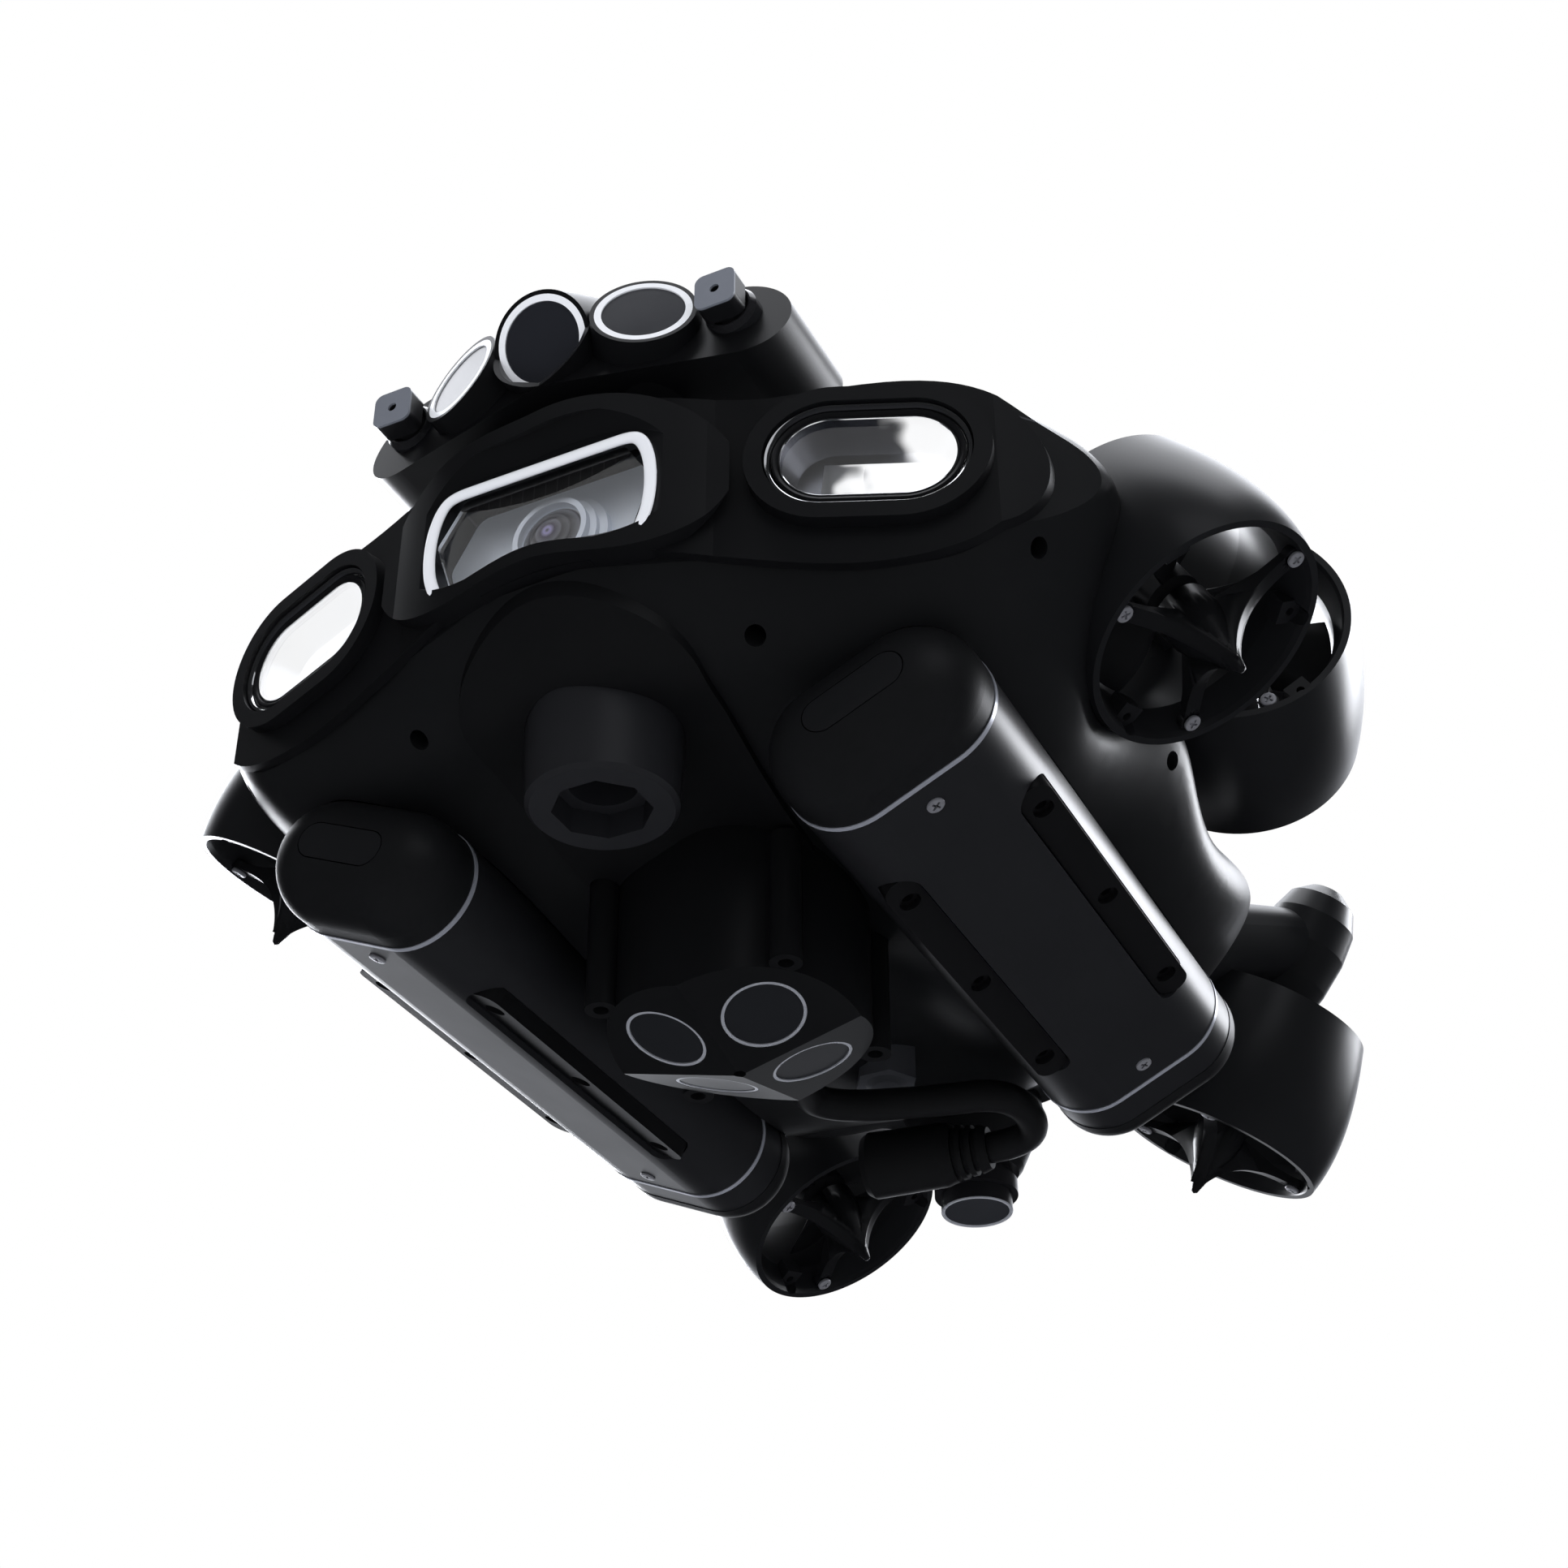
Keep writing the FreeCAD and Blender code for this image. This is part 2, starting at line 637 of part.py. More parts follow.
def guard(turn):
    """Three fins that sweep from screw pads in the rim up to a pointed hub."""
    hub = revolve([(0, guard_tip), (1.0, guard_tip - 0.6), (2.4, guard_tip - 5), (4.2, guard_tip - 10),
                   (6.6, 1.0), (8.0, -4.0), (8.0, -prop_from + 1.4), (0, -prop_from + 1.4)])
    parts = [hub]
    for i in range(3):
        fin = [V(1.0, 0, guard_tip - 3), V(5.0, 0, 7.0), V(12.0, 0, 1.5), V(22.0, 0, -1.2), V(guard_screw_at, 0, -1.6)]
        curve = Part.BSplineCurve()
        curve.interpolate(fin)
        end = V(guard_screw_at, 0, -4.0)
        root = V(1.0, 0, -8.0)
        heel = V(20.0, 0, -4.0)
        wire = Part.Wire([curve.toShape(), Part.makeLine(fin[-1], end), Part.makeLine(end, heel),
                          Part.makeLine(heel, root), Part.makeLine(root, fin[0])])
        arm = prism(wire, V(0, 4.4, 0)).translated(V(0, -2.2, 0))
        pad = cyl(pad_r, 2.4, V(guard_screw_at, 0, -4.0), V(0, 0, 1))
        for piece in (arm, pad):
            parts.append(piece.rotated(V(0, 0, 0), V(0, 0, 1), turn + 120 * i))
    solid = fuse(parts)
    for i in range(3):
        solid = solid.cut(cyl(1.2, 9.0, screw_spot(turn + 120 * i, -6.0), V(0, 0, 1)))
        solid = solid.cut(cyl(screw_head_r + 0.1, 4.0, screw_spot(turn + 120 * i, -1.6), V(0, 0, 1)))
    return solid


def guard_screw(angle):
    shank = cyl(1.15, 6.0, screw_spot(angle, -7.6), V(0, 0, 1))
    head = cyl(screw_head_r, 1.2, screw_spot(angle, -1.6), V(0, 0, 1))
    return head.fuse(shank).removeSplitter()


def blade_section(r, chord, thick, pitch, lead):
    """A lens-shaped section in the plane at right angles to the blade's length."""
    b = math.radians(pitch)
    points = []
    for i in range(8):
        a = math.radians(45 * i)
        u = chord / 2 * math.cos(a) + lead
        w = thick / 2 * math.sin(a)
        points.append(V(r, u * math.cos(b) - w * math.sin(b), u * math.sin(b) + w * math.cos(b)))
    return smooth_wire(points)


def propeller():
    """Hub, shaft stub and three skewed blades, drawn on the duct's axis."""
    mid = -(prop_from + prop_to) / 2
    hub = revolve([(0, -prop_from), (prop_hub_r - 2, -prop_from), (prop_hub_r, -prop_from - 2.5),
                   (prop_hub_r, -prop_to), (shaft_r, -prop_to), (shaft_r, -prop_to - 12), (0, -prop_to - 12)])
    tip_r = throat_r - prop_gap
    blade = Part.makeLoft([blade_section(5.0, 11.0, 2.6, 48, 0.0), blade_section(13.0, 17.0, 2.2, 30, 1.0),
                           blade_section(21.0, 20.0, 1.8, 21, 3.0), blade_section(tip_r + 2, 17.0, 1.3, 17, 6.0)],
                          True, False)
    blade = blade.translated(V(0, 0, mid)).common(cyl(tip_r, 30, V(0, 0, mid - 15), V(0, 0, 1)))
    blades = [blade.rotated(V(0, 0, 0), V(0, 0, 1), 120 * i) for i in range(3)]
    return fuse([hub] + blades)


def motor(length):
    """Stator can with the bearing bore that the shaft runs in."""
    top, low = -prop_to - 1.2, -length + 4.3
    can = cyl(can_r - 1.95, top - low, V(0, 0, low), V(0, 0, 1))
    return can.cut(cyl(shaft_r + shaft_gap, 60, V(0, 0, -prop_to - 12.3), V(0, 0, 1)))


def flow_path(centre, facing, length, far_r):
    """The barrel's seat and the clear water before and behind the duct."""
    room = barrel(length, far_r, 0.1)
    room = room.fuse(cyl(rim_r - 1.0, 70, V(0, 0, -0.5), V(0, 0, 1)))
    room = room.fuse(Part.makeCone(far_r - 1.0, far_r + 14.0, 60, V(0, 0, -length + 0.5), V(0, 0, -1)))
    return place(room, centre, facing)


def side_arm():
    """A faired pylon from the upper shell to the side thruster's duct."""
    wires = []
    for x, y, z, r in ((52, 150, 78, 15), (76, 150, 88, 12), (96, 150, 99, 11)):
        wires.append(Part.Wire(Part.Ellipse(V(x, y, z), r * 1.5, r * 0.7).toShape()))
    for i, (x, y, z, r) in enumerate(((52, 150, 78, 15), (76, 150, 88, 12), (96, 150, 99, 11))):
        ellipse = Part.Ellipse(V(0, 0, 0), r * 1.5, r * 0.7)
        wire = Part.Wire(ellipse.toShape())
        wire.Placement = FreeCAD.Placement(V(x, y, z), FreeCAD.Rotation(V(0, 1, 0), V(-0.45, 0, 0.89), V(0.89, 0, 0.45), "ZXY"))
        wires[i] = wire
    return Part.makeLoft(wires, True, False)


def rear_arm():
    """The outrigger that ends in the rear thruster's upper motor pod."""
    name, centre, facing, length, far_r = thrusters[2]
    pod = revolve([(0, -length - 46), (6, -length - 45.4), (11, -length - 41), (13.6, -length - 34),
                   (14.0, -length - 24), (12.6, -length - 12), (10.2, -length - 2), (9.0, -length + 2.0),
                   (0, -length + 2.0)])
    pod = place(pod, centre, facing)
    top = centre - facing * (length + 26)
    root = V(40, 200, 58)
    way = top - root
    arm = Part.makeCone(19, 11.5, way.Length, root, way)
    arm = arm.cut(place(barrel(length, far_r, 0.1), centre, facing))
    return arm.fuse(pod).removeSplitter()


# --- sonar bar -------------------------------------------------------------


sonar_discs = [
    (V(27.3, -36.0, 122.2), V(0.35, -0.916, 0.199)),
    (V(-27.3, -36.0, 122.2), V(-0.35, -0.916, 0.199)),
    (V(0, -40.0, 119.9), V(0, -0.90, -0.43)),
]


def sonar_wing():
    """Half of the bar: a stadium face swept back from the middle, run aft."""
    sweep = math.radians(sonar_sweep)
    along = V(math.cos(sweep), math.sin(sweep), 0)
    back = V(0, 1, 0)
    lean = V(0, math.sin(math.radians(sonar_lean)), math.cos(math.radians(sonar_lean)))
    up = (lean - along * lean.dot(along)).normalize()
    half = (sonar_half_length / math.cos(sweep) + sonar_r) / 2
    face = stadium(half, sonar_r, 1.0).Faces
    flat = [f for f in face if abs(f.CenterOfMass.z) < 1e-6 and f.Surface.TypeId == "Part::GeomPlane"][0]
    turn = FreeCAD.Rotation(along, up, along.cross(up), "ZXY")
    middle = V(0, sonar_y, sonar_z) + along * (half - sonar_r)
    return carried(flat, middle, turn).extrude(back * sonar_depth)


def sonar_body():
    parts = both(sonar_wing())
    for centre, normal in sonar_discs:
        cone = Part.makeCone(sonar_disc_r + 4.5, sonar_disc_r + 1.2, 18, V(0, 0, -18), V(0, 0, 1))
        parts.append(place(cone, centre, normal))
    solid = fuse(parts)
    for centre, normal in sonar_discs:
        solid = solid.cut(place(cyl(sonar_disc_r, 8, V(0, 0, -2.2), V(0, 0, 1)), centre, normal))
    return solid


def sonar_ring(centre, normal):
    return place(cyl(sonar_disc_r, 2.2, V(0, 0, -2.2), V(0, 0, 1)).cut(
        cyl(sonar_disc_r - 1.8, 3, V(0, 0, -2.6), V(0, 0, 1))), centre, normal)


def sonar_disc(centre, normal):
    return place(cyl(sonar_disc_r - 1.8, 1.8, V(0, 0, -2.2), V(0, 0, 1)), centre, normal)


def sonar_foot():
    """An oval pad between the deck and the underside of the bar."""
    pad = Part.Face(Part.Wire(Part.Ellipse(V(0, -16, 90), 30, 9).toShape()))
    return pad.extrude(V(0, 0, 30))


def laser_head():
    """A rounded square head, a waist and the ball that swivels in its socket."""
    half = laser_head_w / 2
    square = [V(-half, 0, -half), V(half, 0, -half), V(half, 0, half), V(-half, 0, half)]
    face_y = -laser_reach
    head = prism(rounded(square, 2.4), V(0, laser_head_t, 0)).translated(V(0, face_y, 0))
    waist = cyl(2.6, 5, V(0, face_y + laser_head_t - 1, 0), V(0, 1, 0))
    ball = Part.makeSphere(laser_ball_r)
    emitter = cyl(1.3, 3.0, V(0, face_y - 0.1, 0), V(0, 1, 0))
    return head.fuse(waist).fuse(ball).cut(emitter).removeSplitter().translated(V(laser_x, laser_y, laser_z))


def laser_socket():
    """A cup round the ball, open in front, sunk in the sonar's face."""
    outer = revolve([(0, -7.4), (7.2, -7.4), (7.2, 0.5), (6.2, 2.2), (0, 2.2)], V(0, 0, 0), V(0, -1, 0))
    room = Part.makeSphere(laser_ball_r + 0.3)
    mouth = Part.makeCone(3.9, 9.0, 6.0, V(0, 0, 0), V(0, -1, 0))
    return outer.cut(room).cut(mouth).translated(V(laser_x, laser_y, laser_z))


# --- tail ------------------------------------------------------------------


def tail_housing(hull):
    body = revolve([(0, 3.0), (13.5, 3.0), (15.0, 5.0), (19.0, 14.0), (22.0, 24.0), (20.0, 44.0), (0, 44.0)])
    return body.translated(V(0, alt_y, 0)).cut(hull)


def altimeter():
    return revolve([(0, alt_low_z + 1.2), (alt_r - 1.0, alt_low_z + 1.2), (alt_r - 1.0, alt_low_z), (alt_r, alt_low_z),
                    (alt_r, -4.4), (alt_r + 1.9, -4.4), (alt_r + 1.9, 0.2), (alt_r + 0.4, 1.0), (alt_r + 0.4, 3.0),
                    (0, 3.0)]).translated(V(0, alt_y, 0))


def altimeter_face():
    return cyl(alt_r - 1.05, 1.0, V(0, alt_y, alt_low_z + 0.15), V(0, 0, 1))


def vent_nut(hull):
    across = 9.4
    corners = [V(across * math.cos(math.radians(60 * i)), across * math.sin(math.radians(60 * i)), 0) for i in range(6)]
    nut = prism(polygon(corners), V(0, 0, 12))
    dome = revolve([(0, -1.6), (4.0, -1.0), (6.0, 0), (0, 0)])
    return nut.fuse(dome).translated(V(0, 164, 3.0)).cut(hull)


# --- cable -----------------------------------------------------------------

gland_r = 6.4
gland_out = 3.0
cable_route = [V(-4, dvl_y + dvl_r + gland_out, -9), V(-11, 130, -8), V(-17, 152, -6), V(12, 165, -5), V(37, 170, -5),
               V(33, 202, -5), V(17, 200, -5)]


def cable():
    points = cable_route
    edges = []
    at = points[0]
    for i in range(1, len(points) - 1):
        before = points[i - 1] - points[i]
        after = points[i + 1] - points[i]
        half = before.getAngle(after) / 2
        turn = math.pi / 2 - half
        r = 0.45 * min(before.Length, after.Length) / math.tan(turn)
        reach = r * math.tan(turn)
        b, a = V(before).normalize(), V(after).normalize()
        start, end = points[i] + b * reach, points[i] + a * reach
        middle = points[i] + (a + b).normalize() * (r / math.cos(turn) - r)
        edges.append(Part.makeLine(at, start))
        edges.append(Part.Arc(start, middle, end).toShape())
        at = end
    edges.append(Part.makeLine(at, points[-1]))
    path = Part.Wire(edges)
    ring = Part.Wire(Part.Circle(points[0], points[1] - points[0], cable_r).toShape())
    return path.makePipeShell([ring], True, True)


def cable_plug():
    """Plug body along -X from the cable's end, with a ribbed strain relief."""
    end, way = cable_route[-1], (cable_route[-1] - cable_route[-2]).normalize()
    body = [(0, 0), (cable_r + 1.6, 0), (cable_r + 2.4, 2)]
    for i in range(3):
        h = 3.0 + 3.0 * i
        body += [(cable_r + 2.6 + 0.5 * i, h), (cable_r + 1.6 + 0.5 * i, h + 0.1), (cable_r + 1.7 + 0.5 * i, h + 1.4),
                 (cable_r + 2.9 + 0.5 * i, h + 1.5)]
    body += [(9.6, 14), (10.0, 36), (8.8, 38), (0, 38)]
    return revolve(body, end, way)


# --- build -----------------------------------------------------------------


def pair(name, shape):
    """Writes one piece and its mirrored twin as two solids of one node."""
    save(name, *both(shape))


def hull_holes():
    spots = [(V(47.1, -11.8, 28.1), V(0.0, -0.4, -0.9)), (V(112.3, 5.8, 44.1), V(0.65, -0.25, -0.72)),
             (V(114.0, 98.4, 40.0), V(0.86, -0.12, -0.5))]
    holes = []
    for at, out in spots:
        hole = cyl(hull_hole_r, hull_hole_depth + 20, at - out.normalize() * hull_hole_depth, out)
        holes += both(hole)
    return holes


def build():
    envelope = hull_envelope()
    block = fascia_block()
    hull = envelope.common(plan_prism(fascia_depth)).cut(camera_pocket())
    for pocket in both(light_pocket()):
        hull = hull.cut(pocket)
    for name, centre, facing, length, far_r in thrusters:
        for path in both(flow_path(centre, facing, length, far_r)):
            hull = hull.cut(path)
    for room in both(bat_shell_for_hull()):
        hull = hull.cut(room)
    for hole in hull_holes():
        hull = hull.cut(hole)
    hull = max(hull.Solids, key=lambda s: s.Volume)
    seat = hull.copy()
    bay = cyl(bay_r + fit_gap, bay_y[1] - bay_y[0], V(0, bay_y[0], bay_z), V(0, 1, 0))
    hull = hull.cut(bay)
    upper_tool = prism(polygon([V(-200, -60, 102), V(-200, *parting_front), V(-200, 36, 70), V(-200, *parting_rear),
                                V(-200, 300, parting_rear[1]), V(-200, 300, 220), V(-200, -60, 220)]), V(400, 0, 0))
    lower = hull.cut(upper_tool)
    upper = hull.common(upper_tool)

    foot = sonar_foot()
    sonar = sonar_body()
    for socket in both(laser_socket()):
        sonar = sonar.cut(socket)
    laser_room = both(Part.makeSphere(laser_ball_r + 0.3, V(laser_x, laser_y, laser_z)))
    mouth_room = both(Part.makeCone(3.9, 16.0, 14.0, V(laser_x, laser_y, laser_z), V(0, -1, 0)))
    for room in laser_room + mouth_room:
        sonar = sonar.cut(room)
    save("sonar_housing", max(sonar.Solids, key=lambda s: s.Volume))
    foot = foot.cut(sonar).cut(seat).cut(block)
    save("sonar_foot", min(foot.Solids, key=lambda s: abs(s.CenterOfMass.z - 102)))
    save("sonar_rings", *[sonar_ring(c, n) for c, n in sonar_discs])
    save("sonar_discs", *[sonar_disc(c, n) for c, n in sonar_discs])
    pair("laser_sockets", laser_socket())
    head = laser_head()
    save("starboard_laser", head)
    save("port_laser", mirror(head))

    arms = side_arm()
    name, centre, facing, length, far_r = thrusters[1]
    arms = arms.cut(place(barrel(length, far_r, 0.1), centre, facing)).cut(seat)
    arms = max(arms.Solids, key=lambda s: s.Volume)
    pair("side_arms", arms)
    rear = rear_arm().cut(seat)
    rear = max(rear.Solids, key=lambda s: s.Volume)
    pair("rear_arms", rear)

    save("lower_shell", lower)
    save("upper_shell", upper)
    save("front_fascia", front_fascia())
    save("camera_frame", window_frame())
    save("camera_window", camera_window())
    save("camera_module", camera_module())
    save("camera_lens", camera_lens())
    pair("light_rims", light_rim())
    pair("light_glasses", light_glass())
    pair("light_reflectors", light_reflector())
    pair("light_boards", light_board())

    save("payload_boss", payload_boss(seat))
    save("belly_panel", belly_panel(envelope))

    pair("battery_tubes", bat_place(bat_tube()))
    dome = bat_front_cap()
    pair("battery_front_caps", bat_place(dome.cut(bat_window(fit_gap))))
    pair("battery_windows", bat_place(dome.common(bat_window(0.0))))
    pair("battery_rear_caps", bat_place(bat_rear_cap()))
    pair("battery_collars", bat_place(bat_prism(-0.2, bat_rear_y + ring_w, bat_rear_y + bat_collar)))
    rings = [bat_prism(0.25, y - ring_w, y) for y in (bat_front_y, bat_rear_y + ring_w)]
    save("battery_rings", *(both(bat_place(rings[0])) + both(bat_place(rings[1]))))
    save("battery_rails", *[s for side in (-1, 1) for s in both(bat_place(bat_rail(side)))])

    save("dvl_body", dvl_body(seat))
    save("dvl_discs", *[place(cyl(dvl_disc_r - 0.9, 2.6, V(0, 0, -3), V(0, 0, 1)), c, n) for c, n in dvl_facet_frames()])
    save("dvl_rings", *[place(cyl(dvl_disc_r, 2.9, V(0, 0, -3), V(0, 0, 1)).cut(
        cyl(dvl_disc_r - 0.85, 4, V(0, 0, -3.5), V(0, 0, 1))), c, n) for c, n in dvl_facet_frames()])
    save("dvl_cable", cable())
    save("cable_plug", cable_plug())
    save("vent_nut", vent_nut(seat))
    save("tail_housing", tail_housing(seat))
    save("altimeter", altimeter())
    save("altimeter_face", altimeter_face())

    tube = cyl(bay_r, bay_y[1] - bay_y[0] - 2, V(0, bay_y[0] + 1, bay_z), V(0, 1, 0))
    hollow = cyl(bay_r - 3, bay_y[1] - bay_y[0] - 14, V(0, bay_y[0] + 7, bay_z), V(0, 1, 0))
    save("electronics_housing", tube.cut(hollow))
    save("circuit_board", box(-27, 27, bay_y[0] + 7, bay_y[1] - 7, bay_z - 10, bay_z - 8.4))

    screws = []
    motors = []
    for name, centre, facing, length, far_r in thrusters:
        turn = guard_angles[name]
        pieces = {
            "duct": duct(length, far_r, turn),
            "guard": guard(turn),
            "propeller": propeller(),
        }
        for piece, shape in pieces.items():
            placed = place(shape, centre, facing)
            save("%s_starboard_%s" % (name, piece), placed)
            save("%s_port_%s" % (name, piece), mirror(placed))
        motors += both(place(motor(length), centre, facing))
        for i in range(3):
            screws += both(place(guard_screw(turn + 120 * i), centre, facing))
    save("thruster_motors", *motors)
    save("guard_screws", *screws)


build()
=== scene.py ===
import json
import math

import bpy
from mathutils import Matrix, Vector

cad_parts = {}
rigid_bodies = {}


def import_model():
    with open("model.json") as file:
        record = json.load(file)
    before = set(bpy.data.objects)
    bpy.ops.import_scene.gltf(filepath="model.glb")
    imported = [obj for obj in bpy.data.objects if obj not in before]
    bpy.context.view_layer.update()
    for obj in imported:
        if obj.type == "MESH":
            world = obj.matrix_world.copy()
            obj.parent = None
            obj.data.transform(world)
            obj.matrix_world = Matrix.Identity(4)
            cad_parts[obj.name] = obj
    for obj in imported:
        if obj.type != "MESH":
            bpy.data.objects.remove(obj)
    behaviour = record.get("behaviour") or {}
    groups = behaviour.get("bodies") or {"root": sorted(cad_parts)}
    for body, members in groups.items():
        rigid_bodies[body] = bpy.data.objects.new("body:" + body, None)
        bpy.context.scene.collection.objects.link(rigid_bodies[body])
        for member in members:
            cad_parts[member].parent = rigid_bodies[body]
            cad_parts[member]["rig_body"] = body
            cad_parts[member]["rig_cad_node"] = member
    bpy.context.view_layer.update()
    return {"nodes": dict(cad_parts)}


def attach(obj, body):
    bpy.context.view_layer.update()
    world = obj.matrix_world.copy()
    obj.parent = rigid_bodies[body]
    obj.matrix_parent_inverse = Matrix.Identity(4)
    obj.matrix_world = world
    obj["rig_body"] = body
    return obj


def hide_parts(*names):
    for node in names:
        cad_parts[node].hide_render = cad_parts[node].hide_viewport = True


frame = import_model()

nodes = frame["nodes"]

# --- camera ----------------------------------------------------------------
# The vehicle hangs free, and it is seen from ahead of its starboard bow and
# well below, so that its belly, batteries and velocity log show.

camera_turn = math.radians(26.365)
camera_rise = math.radians(-34.523)
camera_roll = math.radians(-0.211)
camera_at = Vector((0.26177, -0.42990, -0.33752))
camera_lens_mm = 57.85

level = Vector((math.cos(camera_turn), math.sin(camera_turn), 0))
behind = Vector((
    math.sin(camera_turn) * math.cos(camera_rise),
    -math.cos(camera_turn) * math.cos(camera_rise),
    math.sin(camera_rise),
))
over = behind.cross(level)
camera_x = level * math.cos(camera_roll) + over * math.sin(camera_roll)
camera_y = over * math.cos(camera_roll) - level * math.sin(camera_roll)
camera_data = bpy.data.cameras.new("view")
camera_data.lens = camera_lens_mm
camera_data.sensor_width = 36.0
camera = bpy.data.objects.new("view", camera_data)
bpy.context.scene.collection.objects.link(camera)
camera_axes = Matrix((camera_x, camera_y, behind)).transposed().to_4x4()
camera.matrix_world = Matrix.Translation(camera_at) @ camera_axes
bpy.context.scene.camera = camera

# --- velocity log's cable --------------------------------------------------
# A black rubber-jacketed cable. It leaves the gland on the tail side of the
# velocity log, swings over to starboard and turns back into its plug.

cable_radius = 0.0046
cable_points = [
    (-0.004, 0.1095, -0.009),
    (-0.011, 0.130, -0.008),
    (-0.017, 0.152, -0.006),
    (0.012, 0.165, -0.005),
    (0.037, 0.170, -0.005),
    (0.033, 0.202, -0.005),
    (0.017, 0.200, -0.005),
]
cable_curve = bpy.data.curves.new("log_cable", "CURVE")
cable_curve.dimensions = "3D"
cable_line = cable_curve.splines.new("NURBS")
cable_line.points.add(len(cable_points) - 1)
for point, at in zip(cable_line.points, cable_points):
    point.co = (*at, 1.0)
cable_line.order_u = 3
cable_line.use_endpoint_u = True
cable_line.resolution_u = 16
cable_curve.bevel_depth = cable_radius
cable_curve.bevel_resolution = 8
cable_curve.use_fill_caps = True
log_cable = bpy.data.objects.new("log_cable", cable_curve)
bpy.context.scene.collection.objects.link(log_cable)


def node_group(name, inputs, outputs):
    """An empty shader group with its named sockets."""
    group = bpy.data.node_groups.new(name, "ShaderNodeTree")
    for socket, kind, value in inputs:
        made = group.interface.new_socket(name=socket, in_out="INPUT", socket_type=kind)
        made.default_value = value
    for socket, kind in outputs:
        group.interface.new_socket(name=socket, in_out="OUTPUT", socket_type=kind)
    start = group.nodes.new("NodeGroupInput")
    end = group.nodes.new("NodeGroupOutput")
    return group, start, end


def add(tree, kind, **values):
    """A node with its settings, and its input sockets by name or number."""
    node = tree.nodes.new(kind)
    for key, value in values.pop("sockets", {}).items():
        node.inputs[key].default_value = value
    for key, value in values.items():
        setattr(node, key, value)
    return node


# Moulding grain: a fine stipple for the normal and a slow drift of gloss.
grain, grain_in, grain_out = node_group(
    "moulding_grain",
    [("Size", "NodeSocketFloat", 1400.0), ("Depth", "NodeSocketFloat", 0.12),
     ("Gloss", "NodeSocketFloat", 0.4), ("Drift", "NodeSocketFloat", 0.08)],
    [("Roughness", "NodeSocketFloat"), ("Normal", "NodeSocketVector"), ("Shade", "NodeSocketFloat")],
)
grain_place = add(grain, "ShaderNodeTexCoord")
stipple = add(grain, "ShaderNodeTexNoise", sockets={"Detail": 3.0, "Roughness": 0.6})
clouds = add(grain, "ShaderNodeTexNoise", sockets={"Scale": 38.0, "Detail": 4.0, "Roughness": 0.55})
grain.links.new(grain_place.outputs["Object"], stipple.inputs["Vector"])
grain.links.new(grain_place.outputs["Object"], clouds.inputs["Vector"])
grain.links.new(grain_in.outputs["Size"], stipple.inputs["Scale"])
relief = add(grain, "ShaderNodeBump", sockets={"Distance": 0.0001})
grain.links.new(grain_in.outputs["Depth"], relief.inputs["Strength"])
grain.links.new(stipple.outputs["Fac"], relief.inputs["Height"])
grain.links.new(relief.outputs["Normal"], grain_out.inputs["Normal"])
centred = add(grain, "ShaderNodeMath", operation="SUBTRACT", sockets={1: 0.5})
grain.links.new(clouds.outputs["Fac"], centred.inputs[0])
drifted = add(grain, "ShaderNodeMath", operation="MULTIPLY_ADD")
grain.links.new(centred.outputs[0], drifted.inputs[0])
grain.links.new(grain_in.outputs["Drift"], drifted.inputs[1])
grain.links.new(grain_in.outputs["Gloss"], drifted.inputs[2])
grain.links.new(drifted.outputs[0], grain_out.inputs["Roughness"])
grain.links.new(clouds.outputs["Fac"], grain_out.inputs["Shade"])

# Handling marks: sparse fine scratches and rubbed patches, as a mask.
marks, marks_in, marks_out = node_group(
    "handling_marks",
    [("Amount", "NodeSocketFloat", 0.5)],
    [("Mask", "NodeSocketFloat")],
)
marks_place = add(marks, "ShaderNodeTexCoord")
marks_turn = add(marks, "ShaderNodeMapping", sockets={
    "Rotation": (0.6, 0.3, 0.9), "Scale": (1.0, 14.0, 3.0)})
streaks = add(marks, "ShaderNodeTexNoise", sockets={
    "Scale": 70.0, "Detail": 5.0, "Roughness": 0.7})
patches = add(marks, "ShaderNodeTexNoise", sockets={"Scale": 22.0, "Detail": 2.0})
marks.links.new(marks_place.outputs["Object"], marks_turn.inputs["Vector"])
marks.links.new(marks_turn.outputs["Vector"], streaks.inputs["Vector"])
marks.links.new(marks_place.outputs["Object"], patches.inputs["Vector"])
thin = add(marks, "ShaderNodeMapRange", sockets={"From Min": 0.62, "From Max": 0.72})
broad = add(marks, "ShaderNodeMapRange", sockets={"From Min": 0.52, "From Max": 0.68})
marks.links.new(streaks.outputs["Fac"], thin.inputs["Value"])
marks.links.new(patches.outputs["Fac"], broad.inputs["Value"])
both_marks = add(marks, "ShaderNodeMath", operation="MULTIPLY")
marks.links.new(thin.outputs["Result"], both_marks.inputs[0])
marks.links.new(broad.outputs["Result"], both_marks.inputs[1])
scaled_marks = add(marks, "ShaderNodeMath", operation="MULTIPLY")
marks.links.new(both_marks.outputs[0], scaled_marks.inputs[0])
marks.links.new(marks_in.outputs["Amount"], scaled_marks.inputs[1])
marks.links.new(scaled_marks.outputs[0], marks_out.inputs["Mask"])


cloud_lift = 1.35


